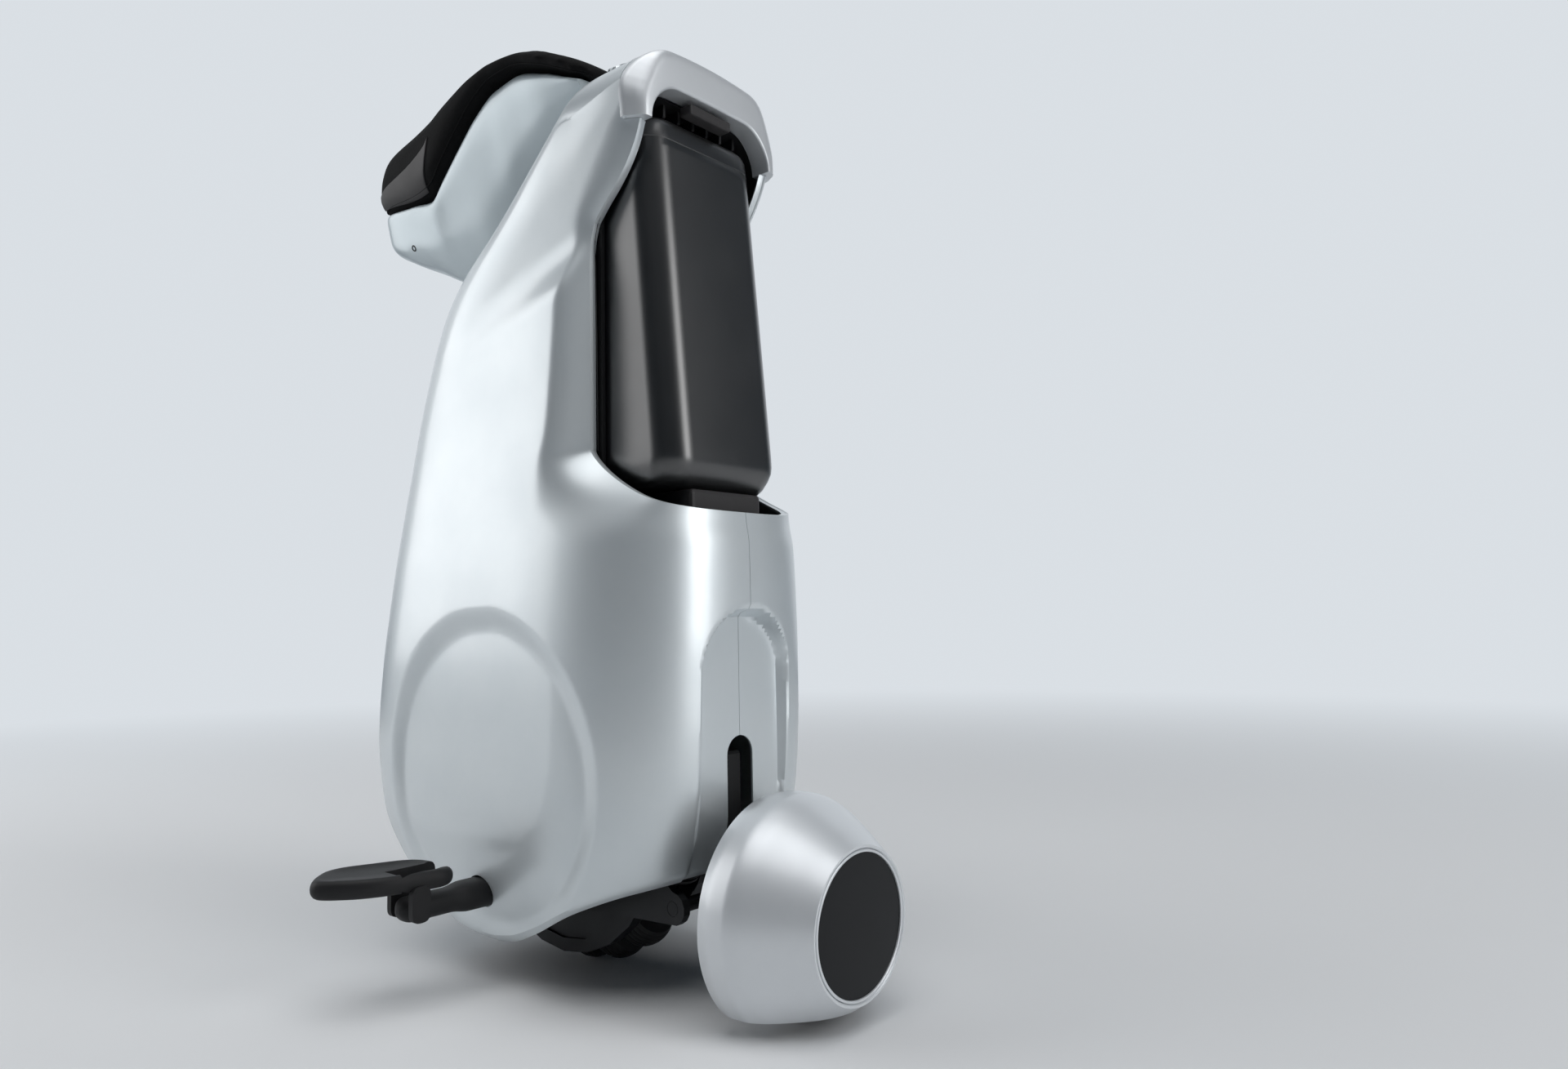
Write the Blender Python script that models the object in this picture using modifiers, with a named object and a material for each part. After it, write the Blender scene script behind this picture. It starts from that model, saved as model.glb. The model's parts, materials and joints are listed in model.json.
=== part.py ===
"""Ride-on self-balancing mobility device: saddle, two-part body, roller main wheel, covered tail wheel.

Metres, +Z up. The front faces -Y, the rider's left is +X. The origin lies on the floor under the main axle.
"""
import math

import bmesh
import bpy
import numpy as np
from mathutils import Matrix, Vector

MM = 0.001

# Clearances, and how far a cut runs past the piece that it cuts
GAP = 0.3 * MM
SEAM = 0.4 * MM
BORE_PLAY = 0.4 * MM
PASS = 40 * MM
SEAM_PASS = 10 * MM
EDGE_PASS = 12 * MM

# Edge rounding of moulded cases and of machined pieces
CASE_ROUNDING = 3 * MM
MACHINED_ROUNDING = 2 * MM

# Body shells: (height, value) stations in mm, read as smooth curves
BODY_WALL = 2.8 * MM
BODY_TOP = 679 * MM
BODY_HALF_WIDTH = [(20, 84), (45, 97), (80, 107), (130, 112.5), (170, 113.5), (230, 112.5), (300, 109),
                   (360, 104), (420, 99.5), (480, 96), (540, 92.5), (600, 87), (645, 82), (690, 76)]
BODY_FRONT = [(20, -82), (35, -105), (74, -154), (120, -185), (177, -194), (227, -190), (278, -182),
              (341, -171), (417, -154), (460, -144), (500, -135), (530, -124), (549, -112), (592, -58),
              (612, -32), (635, 0), (654, 30), (668, 62), (690, 128)]
BODY_REAR = [(20, 96), (45, 122), (80, 146), (110, 158), (150, 165), (200, 168.5), (280, 170), (320, 169.5),
             (343, 166.5), (420, 166), (690, 160)]
BODY_MIDDLE = [(20, 0), (420, 0), (500, 8), (560, 34), (600, 58), (645, 84), (690, 108)]
FRONT_SQUARENESS = [(20, 3.0), (120, 4.2), (420, 4.0), (520, 3.2), (580, 2.5), (690, 2.3)]
REAR_SQUARENESS = [(20, 2.8), (150, 3.1), (690, 3.1)]
LOWER_EDGE = [(-200, 31), (20, 33), (57, 44), (99, 68), (129, 82), (175, 96), (220, 100)]
LOWER_EDGE_POWER = 0.6
BODY_COLUMNS = 21
BODY_ROWS = 20
FIELD_SEGMENTS = 36

# Round field sunk into each flank
FIELD_Y = -3 * MM
FIELD_Z = 157 * MM
FIELD_RADIUS = 108 * MM
FIELD_BORDER = 13 * MM
FIELD_FLOOR_X = 105 * MM
FIELD_RIM_X = 114 * MM
FIELD_DOME = 2 * MM

# Rear channel and the slot that the tail arm swings in
CHANNEL_HALF_WIDTH = 44 * MM
CHANNEL_TOP = 273 * MM
CHANNEL_FLOOR_Y = 157.5 * MM
SLOT_HALF_WIDTH = 13.5 * MM
SLOT_TOP = 184 * MM
SLOT_FOOT_Z = 50 * MM

# Battery bay edge seen from the side: sill, sweep up to the flank, sweep back to the handle arch
BAY_SILL_Z = 343 * MM
BAY_REAR_Y = 172 * MM
BAY_FLANK_Y = 84 * MM
BAY_CORNER_RISE = 48 * MM
BAY_CORNER_POWER = 1.5
BAY_NECK_Z = 530 * MM
BAY_NECK_RISE = 70 * MM
BAY_CORNER_STEPS = 6
BAY_NECK_STEPS = 4

# Bevel between the flank and the bay edge: it starts at BEVEL_INNER_X and runs out over BEVEL_RUN
BEVEL_INNER_X = 75 * MM
BEVEL_RUN = 40 * MM
BEVEL_FLANK = 26 * MM
BEVEL_SILL = 18 * MM

# Scoop under the shoulder ridge: a tip ahead and two rear corners, each (X, Y, Z), and its lower wall's run
SCOOP_TIP = (95.5 * MM, -74 * MM, 482 * MM)
SCOOP_LOW = (80 * MM, 124 * MM, 555 * MM)
SCOOP_HIGH = (78 * MM, 124 * MM, 685 * MM)
SCOOP_WALL_RUN = 30 * MM

# Shoulders, which round over to the handle arch's outline
SHOULDER_FRONT_Y = 50 * MM
SHOULDER_FOOT_Z = 575 * MM
SHOULDER_DRAFT = 3 * MM
SHOULDER_STEPS = 8

# Handle arch
ARCH_SEAM_Y = 122.5 * MM
ARCH_FOOT_Z = 626 * MM
ARCH_DEPTH = 18 * MM
ARCH_OUTER_HALF = 77 * MM
ARCH_INNER_HALF = 66.5 * MM
ARCH_BAND = 26 * MM
ARCH_CORNER = 40 * MM
ARCH_INNER_CORNER = 26 * MM
ARCH_ROUNDING = 4 * MM

# Battery pack
BATTERY_HALF_WIDTH = 61 * MM
BATTERY_FRONT_Y = 74 * MM
BATTERY_REAR_Y = 157 * MM
BATTERY_BOTTOM_Z = 361 * MM
FINGER_GAP = 13 * MM
BATTERY_LEAN = 26 * MM
BATTERY_CORNER = 17 * MM

# Bay liner and connector plinth
LINER_WALL = 3 * MM
LINER_CLEARANCE = 1.2 * MM
LINER_REACH = 12 * MM
BAY_FLOOR_DROP = 2 * MM
PLINTH_INSET = 8 * MM
PLINTH_HALF_WIDTH = 37 * MM
PLINTH_DEPTH = 42 * MM

# Battery latch
LATCH_HALF_WIDTH = 22 * MM
LATCH_DEPTH = 12 * MM
LATCH_HEIGHT = 8 * MM
LATCH_ROUNDING = 1.5 * MM

# Main wheel
ROLLER_RADIUS = 22 * MM
ROLLER_COUNT = 20
ROLLER_CROWN = 3 * MM
ROLLER_SIDE_GAP = 0.6 * MM
CORE_RADIUS = 7 * MM
ROLLER_SEGMENTS = 12
AXLE_RADIUS = 10 * MM

# Drive discs, frame plates and motors
DISC_RADIUS = 106 * MM
DISC_RIM = 10 * MM
DISC_THICKNESS = 11 * MM
DISC_RECESS = 2 * MM
DISC_WEB_SHARE = 0.35
DISC_HUB_RADIUS = 24 * MM
PLATE_INNER_X = 40 * MM
PLATE_THICKNESS = 6 * MM
BRIDGE_CLEARANCE = 16 * MM
BRIDGE_HEIGHT = 40 * MM
BRIDGE_HALF_DEPTH = 34 * MM
PLATE_MARGIN = 9 * MM
PLATE_FRONT = 14 * MM
PLATE_REAR = 20 * MM
PLATE_RISE = 16 * MM
DISC_HUB_INNER_X = 2 * MM
MOTOR_RADIUS = 34 * MM
MOTOR_LENGTH = 40 * MM
MOTOR_Y = -70 * MM
MOTOR_Z = 205 * MM
MOTOR_SEAT_DEPTH = 0.5
MOTOR_SEAT_RISE = 0.6

# Column and saddle post
COLUMN_HALF_WIDTH = 22 * MM
COLUMN_DEPTH = 34 * MM
POST_HEIGHT = 61 * MM
POST_Y = -98 * MM
POST_RADIUS = 14 * MM
POST_FOOT_RADIUS = 22 * MM
POST_FOOT_HEIGHT = 6 * MM
COLUMN_BEND_Z = 415 * MM
COLUMN_HEAD = 34 * MM
CONTROL_LOW_Z = 380 * MM
CONTROL_HALF_WIDTH = 55 * MM
CONTROL_DEPTH = 38 * MM
CONTROL_HEIGHT = 120 * MM

# Saddle, side outlines in mm: (distance along Y, height)
SADDLE_TOP = [(-262, 668), (-256, 700), (-230, 721), (-190, 731), (-140, 741), (-96, 745), (-48, 743),
              (-10, 734), (20, 721), (40, 711), (52, 704)]
CUSHION_UNDER = [(-262, 656), (-235, 653), (-190, 649), (-164, 652), (-145, 670), (-118, 694), (-90, 716),
                 (-66, 726), (-40, 727), (0, 715), (30, 701), (52, 692)]
SHELL_UNDER = [(-254, 640), (-232, 619), (-205, 604), (-180, 588), (-155, 576), (-86, 576), (-66, 602),
               (-40, 628), (0, 660), (40, 689)]
SADDLE_HALF_WIDTH = [(-262, 38), (-252, 52), (-228, 59), (-170, 62), (-90, 66), (-20, 67), (30, 60), (52, 48)]
SHELL_KEEL_WIDTH = [(-254, 36), (-200, 40), (-150, 40), (-100, 42), (-40, 50), (40, 46)]
CUSHION_SQUARENESS = 3.2
SHELL_SQUARENESS = 5.0
SHELL_FLARE = 1.6
SHELL_EDGE = 3 * MM
SHELL_INSET = 1 * MM
SADDLE_STATIONS = 19
SADDLE_POINTS = 18
TRIM_THICKNESS = 2.2 * MM
TRIM_LIFT = 0.6 * MM
TRIM_FRONT_Y = -250 * MM
TRIM_REAR_Y = -168 * MM
TRIM_MARGIN = 8 * MM
TRIM_FRONT_HEIGHT = 14 * MM
TRIM_REAR_HEIGHT = 38 * MM
TRIM_SLANT = 14 * MM

# Footrests
REST_Y = -14 * MM
REST_Z = 69 * MM
ARM_HALF_DEPTH = 11 * MM
ARM_HALF_HEIGHT = 8.5 * MM
ARM_POWER = 0.6
ARM_POINTS = 16
HOLE_MARGIN = 4 * MM
FOLD_X = 158 * MM
FOLD_PIN_RADIUS = 4 * MM
KNUCKLE_MARGIN = 5 * MM
NOTCH_PLAY = 3 * MM
EAR_MARGIN = 3 * MM
PAD_INNER_X = 130 * MM
PAD_LENGTH = 86 * MM
PAD_HALF_DEPTH = 31 * MM
PAD_FORWARD = 24 * MM
PAD_THICKNESS = 13 * MM
PAD_LIFT = 14 * MM
PAD_ROUNDING = 2.5 * MM
PAD_CORNER_SHARE = 0.8
PAD_INNER_SHARE = 0.75
EAR_THICKNESS = 5 * MM

# Tail wheel
TAIL_RADIUS = 68 * MM
TAIL_Y = 216 * MM
TAIL_ROLLER_COUNT = 8
TAIL_ROLLER_RADIUS = 12 * MM
TAIL_ROLLER_HALF_LENGTH = 16.5 * MM
TAIL_CORE_RADIUS = 3 * MM
TAIL_DRUM_RADIUS = 32 * MM
TAIL_DRUM_HALF_WIDTH = 13 * MM
TAIL_SHAFT_RADIUS = 8 * MM
TAIL_PIVOT_Y = 134 * MM
TAIL_PIVOT_Z = 68 * MM
TAIL_PIN_RADIUS = 5 * MM
TAIL_LUG_RADIUS = 11.5 * MM
TAIL_ARM_HALF_WIDTH = 9 * MM
TAIL_ARM_PLATE = 14 * MM
TAIL_ARM_HALF_HEIGHT = 20 * MM
TAIL_FIN_TOP = 172 * MM
TAIL_FIN_FRONT_Y = 142 * MM
TAIL_FIN_DEPTH = 9 * MM
TAIL_SPOKE_HALF = 2.4 * MM
TAIL_SPOKE_ROOT = 4 * MM
TAIL_ROLLER_SEGMENTS = 12
TAIL_DRUM_SEGMENTS = 32
COVER_RIM_RADIUS = 78 * MM
COVER_RIM_Y = 189 * MM
COVER_BAND = 30 * MM
COVER_WALL = 2.5 * MM
COVER_FOOT_Z = 12 * MM
COVER_BULGE = 2 * MM
COVER_SHOULDER = 12 * MM
COVER_DRAW = 3 * MM
COVER_CONE = 12 * MM
COVER_CONE_DEPTH = 24 * MM
COVER_SEGMENTS = 36
TAIL_DISC_RADIUS = 48 * MM
TAIL_DISC_THICKNESS = 5 * MM
TAIL_REAR_Y = 262 * MM

SIDES = (("left", 1), ("right", -1))
RING_RADIUS = DISC_RADIUS - DISC_RIM
WHEEL_RADIUS = RING_RADIUS + ROLLER_RADIUS
AXLE_Z = WHEEL_RADIUS
BRIDGE_LOW_Z = AXLE_Z + WHEEL_RADIUS + BRIDGE_CLEARANCE
NECK_Z = min(height for _, height in SHELL_UNDER) * MM
COLUMN_TOP_Z = NECK_Z - POST_HEIGHT
BATTERY_TOP_Z = BODY_TOP - ARCH_BAND - FINGER_GAP
TAIL_RING_RADIUS = TAIL_RADIUS - TAIL_ROLLER_RADIUS
TAIL_Z = TAIL_RADIUS


def clear_scene():
    """Remove every object so that the script always starts from an empty scene."""
    for item in list(bpy.data.objects):
        bpy.data.objects.remove(item, do_unlink=True)


def collection(name):
    """Make a collection linked to the scene."""
    made = bpy.data.collections.new(name)
    bpy.context.scene.collection.children.link(made)
    return made


def material(name, colour, roughness, metallic=0.0):
    """Make a plain Principled material."""
    made = bpy.data.materials.new(name)
    made.use_nodes = True
    shader = made.node_tree.nodes["Principled BSDF"]
    shader.inputs["Base Color"].default_value = (*colour, 1.0)
    shader.inputs["Roughness"].default_value = roughness
    shader.inputs["Metallic"].default_value = metallic
    return made


def smooth(stations, at):
    """Read a (position, value) list in mm as a smooth monotone-tangent curve, in metres."""
    x = np.array([s[0] for s in stations], float) * MM
    v = np.array([s[1] for s in stations], float)
    slope = np.diff(v) / np.diff(x)
    tangent = np.concatenate([[slope[0]], np.zeros(len(x) - 2), [slope[-1]]])
    same = slope[:-1] * slope[1:] > 0
    mean = 2 * slope[:-1] * slope[1:] / np.where(same, slope[:-1] + slope[1:], 1)
    tangent[1:-1] = np.where(same, mean, 0)
    at = np.clip(np.asarray(at, float), x[0], x[-1])
    i = np.clip(np.searchsorted(x, at) - 1, 0, len(x) - 2)
    h = x[i + 1] - x[i]
    s = (at - x[i]) / h
    return ((1 + 2 * s) * (1 - s) ** 2 * v[i] + s * (1 - s) ** 2 * h * tangent[i]
            + s * s * (3 - 2 * s) * v[i + 1] + s * s * (s - 1) * h * tangent[i + 1])


def curve_value(stations, at):
    """Smooth curve value in metres for stations whose values are lengths in mm."""
    return smooth(stations, at) * MM


def add_object(name, mesh, mat=None, where=None, group=None):
    """Link a mesh object with its material and place."""
    made = bpy.data.objects.new(name, mesh)
    (group or PARTS).objects.link(made)
    if mat:
        mesh.materials.append(mat)
    if where:
        made.location = where
    return made


def mesh_from(bm, name, smooth_angle=None):
    """Close off a bmesh as a mesh with its faces pointing out."""
    bmesh.ops.remove_doubles(bm, verts=bm.verts, dist=1e-6)
    bmesh.ops.recalc_face_normals(bm, faces=bm.faces)
    mesh = bpy.data.meshes.new(name)
    bm.to_mesh(mesh)
    bm.free()
    if smooth_angle:
        mesh.shade_smooth()
        mesh.set_sharp_from_angle(angle=math.radians(smooth_angle))
    return mesh


def loft(name, rings):
    """Skin a stack of equal point rings and cap both ends."""
    bm = bmesh.new()
    rows = [[bm.verts.new(p) for p in ring] for ring in rings]
    count = len(rows[0])
    for low, high in zip(rows, rows[1:]):
        for k in range(count):
            bm.faces.new((low[k], low[(k + 1) % count], high[(k + 1) % count], high[k]))
    bm.faces.new(rows[0][::-1])
    bm.faces.new(rows[-1])
    return mesh_from(bm, name, 40)


def turned(name, profile, segments, axis="Z"):
    """Spin a closed (radius, height) profile about an axis through the origin."""
    bm = bmesh.new()
    points = [bm.verts.new((r, 0, h)) for r, h in profile]
    edges = [bm.edges.new((a, b)) for a, b in zip(points, points[1:] + points[:1])]
    bmesh.ops.spin(bm, geom=points + edges, cent=(0, 0, 0), axis=(0, 0, 1), angle=2 * math.pi,
                   steps=segments, use_merge=True)
    turn = {"Z": Matrix.Identity(3), "X": Matrix.Rotation(math.pi / 2, 3, "Y"),
            "Y": Matrix.Rotation(-math.pi / 2, 3, "X")}[axis]
    bmesh.ops.transform(bm, matrix=turn.to_4x4(), verts=bm.verts)
    dead = [e for e in bm.edges if not e.link_faces]
    bmesh.ops.delete(bm, geom=dead, context="EDGES")
    return mesh_from(bm, name, 40)


def prism(name, outline, start, end, axis):
    """Extrude a flat outline along an axis. Outline pairs are the other two axes in XYZ order."""
    slot = "XYZ".index(axis)
    rings = []
    for level in (start, end):
        rings.append([(*point[:slot], level, *point[slot:]) for point in outline])
    return loft(name, rings)


def block(name, low, high):
    """A box between two corners."""
    bm = bmesh.new()
    bmesh.ops.create_cube(bm, size=1.0)
    size = Vector(high) - Vector(low)
    middle = (Vector(high) + Vector(low)) / 2
    bmesh.ops.transform(bm, matrix=Matrix.Translation(middle) @ Matrix.Diagonal((*size, 1)), verts=bm.verts)
    return mesh_from(bm, name)


def rod(name, radius, start, end, axis, segments=20):
    """A round bar along an axis."""
    return turned(name, [(0, start), (radius, start), (radius, end), (0, end)], segments, axis)


def bevel(item, width, segments=2, angle=30):
    """Round the sharp edges of an object."""
    made = item.modifiers.new("rounding", "BEVEL")
    made.width = width
    made.segments = segments
    made.limit_method = "ANGLE"
    made.angle_limit = math.radians(angle)
    made.use_clamp_overlap = True


def boolean(item, other, operation="DIFFERENCE"):
    """Cut with, or join, another object, which stays as a hidden helper."""
    made = item.modifiers.new(operation.lower(), "BOOLEAN")
    made.operation = operation
    made.object = other
    other.hide_render = True
    other.display_type = "WIRE"


def cutter(name, mesh):
    """A helper object in the cutters' collection."""
    return add_object(name, mesh, group=CUTTERS)


def arc(cx, cy, radius, first, last, steps):
    """Points on an arc, in degrees."""
    angles = np.radians(np.linspace(first, last, steps + 1))
    return [(cx + radius * math.cos(a), cy + radius * math.sin(a)) for a in angles]


def arch_outline(half_width, top, foot, steps=10):
    """An upright outline with a half-round top."""
    return [(-half_width, foot), (half_width, foot)] + arc(0, top - half_width, half_width, 0, 180, steps)


def lower_edge(t):
    """Height of the shells' lower edge at a section angle."""
    reach = np.where(t < math.pi / 2, curve_value(BODY_FRONT, 0.08), curve_value(BODY_REAR, 0.08))
    return curve_value(LOWER_EDGE, reach * np.abs(np.cos(t)) ** LOWER_EDGE_POWER)


def body_ring(t, z, inset):
    """One closed section of the left half of the body, pulled in by an inset."""
    half = curve_value(BODY_HALF_WIDTH, z) - inset
    middle = curve_value(BODY_MIDDLE, z)
    front = middle - curve_value(BODY_FRONT, z) - inset
    rear = curve_value(BODY_REAR, z) - inset - middle
    ahead = t <= math.pi / 2
    power = np.where(ahead, 2 / smooth(FRONT_SQUARENESS, z), 2 / smooth(REAR_SQUARENESS, z))
    x = half * np.abs(np.sin(t)) ** power
    y = middle + np.where(ahead, -front, rear) * np.abs(np.cos(t)) ** power
    return x, y


def body_half(name, inset, seam_x, low, top):
    """The left half of the body as a solid that is flat at seam_x."""
    t = np.linspace(0, math.pi, BODY_COLUMNS)
    bottom = lower_edge(t) + low
    rings = []
    for v in np.linspace(0, 1, BODY_ROWS):
        z = bottom + (top - bottom) * v
        x, y = body_ring(t, z, inset)
        x[0] = x[-1] = seam_x
        rings.append([(max(a, seam_x), b, c) for a, b, c in zip(x, y, z)])
    return loft(name, rings)


def field_tool(name, grow):
    """The sunk round field of the left flank, with a soft dome on its floor."""
    rim = FIELD_RADIUS + FIELD_BORDER + grow
    floor = FIELD_RADIUS + grow
    profile = [(0, FIELD_FLOOR_X + FIELD_DOME - grow), (floor * 0.6, FIELD_FLOOR_X + FIELD_DOME * 0.6 - grow),
               (floor, FIELD_FLOOR_X - grow), (rim, FIELD_RIM_X - grow), (rim, FIELD_RIM_X + PASS),
               (0, FIELD_RIM_X + PASS)]
    tool = cutter(name, turned(name, profile, FIELD_SEGMENTS, "X"))
    tool.location = (0, FIELD_Y, FIELD_Z)
    return tool


def channel_tool(name, grow):
    """The round-topped channel down the rear."""
    outline = arch_outline(CHANNEL_HALF_WIDTH + grow, CHANNEL_TOP + grow, SLOT_FOOT_Z, 12)
    return cutter(name, prism(name, outline, CHANNEL_FLOOR_Y - grow, CHANNEL_FLOOR_Y + PASS, "Y"))


def bay_outline(flank_shift, sill_shift):
    """Side outline behind the bay's edge, with the flank moved ahead and the sill moved down."""
    far = BAY_REAR_Y + PASS
    flank = BAY_FLANK_Y - flank_shift
    sill = BAY_SILL_Z - sill_shift
    outline = [(far, sill)]
    for angle in np.linspace(0, math.pi / 2, BAY_CORNER_STEPS + 1):
        back = abs(math.sin(angle)) ** BAY_CORNER_POWER
        up = 1 - abs(math.cos(angle)) ** BAY_CORNER_POWER
        outline.append((BAY_REAR_Y - (BAY_REAR_Y - flank) * back, sill + BAY_CORNER_RISE * up))
    for share in np.linspace(0, 1, BAY_NECK_STEPS + 1):
        outline.append((flank + (ARCH_SEAM_Y - flank) * share ** BAY_CORNER_POWER,
                        BAY_NECK_Z + BAY_NECK_RISE * share))
    return outline + [(ARCH_SEAM_Y, BODY_TOP + PASS), (far, BODY_TOP + PASS)]


def bay_tool():
    """Everything behind the battery bay's edge, seen from the side."""
    reach = max(width for _, width in BODY_HALF_WIDTH) * MM + PASS
    return cutter("bay_cut", prism("bay_cut", bay_outline(0, 0), -PASS, reach, "X"))


def bevel_tool(name, grow):
    """Bevel round the bay: its outline widens with X, so the flank slopes in towards the bay edge."""
    near = BEVEL_INNER_X - grow
    rings = []
    for x, share in ((near, 0), (near + BEVEL_RUN, 1)):
        outline = bay_outline(BEVEL_FLANK * share + grow, BEVEL_SILL * share + grow)
        rings.append([(x, y, z) for y, z in outline])
    return cutter(name, loft(name, rings))


def scoop_tool(name, grow):
    """Hollow between the shoulder ridge and the flank's upper edge, with a leaning floor."""
    floor = [(x - grow, y, z) for x, y, z in (SCOOP_TIP, SCOOP_LOW, SCOOP_HIGH)]
    drops = (SCOOP_WALL_RUN + grow, SCOOP_WALL_RUN + grow, 0)
    outside = [(x + PASS, y, z - drop) for (x, y, z), drop in zip(floor, drops)]
    return cutter(name, loft(name, [floor, outside]))


def shoulder_tool(name, grow):
    """Space outside the handle arch's rounded corner, carried ahead over the shoulder."""
    middle_x = ARCH_OUTER_HALF - ARCH_CORNER
    middle_z = BODY_TOP - ARCH_CORNER
    far = ARCH_OUTER_HALF + PASS
    outline = [(ARCH_OUTER_HALF + SHOULDER_DRAFT - grow, SHOULDER_FOOT_Z)]
    outline += arc(middle_x, middle_z, ARCH_CORNER - grow, 0, 90, SHOULDER_STEPS)
    outline += [(middle_x, BODY_TOP + PASS), (far, BODY_TOP + PASS), (far, SHOULDER_FOOT_Z)]
    return cutter(name, prism(name, outline, SHOULDER_FRONT_Y, ARCH_SEAM_Y + PASS, "Y"))


def build_shells():
    """Left shell by hollowing the loft, right shell as its mirror image."""
    inside = body_half("body_hollow", BODY_WALL, -SEAM_PASS, -EDGE_PASS, BODY_TOP - BODY_WALL)
    hollow = cutter("body_hollow", inside)
    forms = (("field", field_tool), ("channel", channel_tool), ("bevel", bevel_tool), ("scoop", scoop_tool),
             ("shoulder", shoulder_tool))
    for label, make in forms:
        boolean(hollow, make(f"{label}_inside", BODY_WALL))
    slot = cutter("slot_cut", prism("slot_cut", arch_outline(SLOT_HALF_WIDTH, SLOT_TOP, SLOT_FOOT_Z, 8),
                                    CHANNEL_FLOOR_Y - PASS, CHANNEL_FLOOR_Y + PASS, "Y"))
    hole = cutter("footrest_hole", rod("footrest_hole", ARM_HALF_DEPTH + HOLE_MARGIN, FIELD_FLOOR_X - PASS,
                                       FIELD_RIM_X + PASS, "X"))
    hole.location = (0, REST_Y, REST_Z)
    post_reach = POST_RADIUS + HOLE_MARGIN
    post_hole = cutter("post_hole", rod("post_hole", post_reach, COLUMN_TOP_Z, BODY_TOP + PASS, "Z"))
    post_hole.location = (0, POST_Y, 0)
    shell = add_object("left_body_shell", body_half("left_body_shell", 0, SEAM / 2, 0, BODY_TOP), PEARL)
    outside = [make(f"{label}_outside", 0) for label, make in forms]
    for tool in (*outside, hollow, slot, hole, post_hole, bay_tool()):
        boolean(shell, tool)
    bpy.context.view_layer.update()
    done = shell.evaluated_get(bpy.context.evaluated_depsgraph_get())
    bm = bmesh.new()
    bm.from_mesh(done.to_mesh())
    bmesh.ops.dissolve_degenerate(bm, edges=bm.edges, dist=1e-5)
    bmesh.ops.triangulate(bm, faces=bm.faces)
    left_mesh = mesh_from(bm.copy(), "left_body_shell", 35)
    bmesh.ops.transform(bm, matrix=Matrix.Diagonal((-1, 1, 1, 1)), verts=bm.verts)
    right_mesh = mesh_from(bm, "right_body_shell", 35)
    helpers = [m.object for m in list(shell.modifiers) + list(hollow.modifiers)]
    bpy.data.objects.remove(shell)
    for tool in helpers:
        bpy.data.objects.remove(tool)
    add_object("left_body_shell", left_mesh, PEARL)
    add_object("right_body_shell", right_mesh, PEARL)


def build_arch():
    """Handle arch that bridges the shoulders above the battery."""
    inner_top = BODY_TOP - ARCH_BAND
    outer = [(ARCH_OUTER_HALF, ARCH_FOOT_Z)]
    outer += arc(ARCH_OUTER_HALF - ARCH_CORNER, BODY_TOP - ARCH_CORNER, ARCH_CORNER, 0, 90, 7)
    inner = [(ARCH_INNER_HALF, ARCH_FOOT_Z)]
    inner_x = ARCH_INNER_HALF - ARCH_INNER_CORNER
    inner += arc(inner_x, inner_top - ARCH_INNER_CORNER, ARCH_INNER_CORNER, 0, 90, 7)
    outline = outer + [(-x, z) for x, z in outer[::-1]] + [(-x, z) for x, z in inner] + inner[::-1]
    mesh = prism("handle_arch", outline, ARCH_SEAM_Y + GAP, ARCH_SEAM_Y + ARCH_DEPTH, "Y")
    item = add_object("handle_arch", mesh, SILVER)
    bevel(item, ARCH_ROUNDING, 1, 50)


def battery_shift(z):
    """How far the battery's rear face has leaned forward at a height."""
    return BATTERY_LEAN * (z - BATTERY_BOTTOM_Z) / (BATTERY_TOP_Z - BATTERY_BOTTOM_Z)


def build_battery():
    """Battery pack: a box with a leaning rear face and well rounded edges."""
    mesh = block("battery_pack", (-BATTERY_HALF_WIDTH, BATTERY_FRONT_Y, BATTERY_BOTTOM_Z),
                 (BATTERY_HALF_WIDTH, BATTERY_REAR_Y, BATTERY_TOP_Z))
    for vert in mesh.vertices:
        if vert.co.y > BATTERY_FRONT_Y + BATTERY_CORNER:
            vert.co.y -= battery_shift(vert.co.z)
    item = add_object("battery_pack", mesh, BLACK)
    bevel(item, BATTERY_CORNER, 3)


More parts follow.
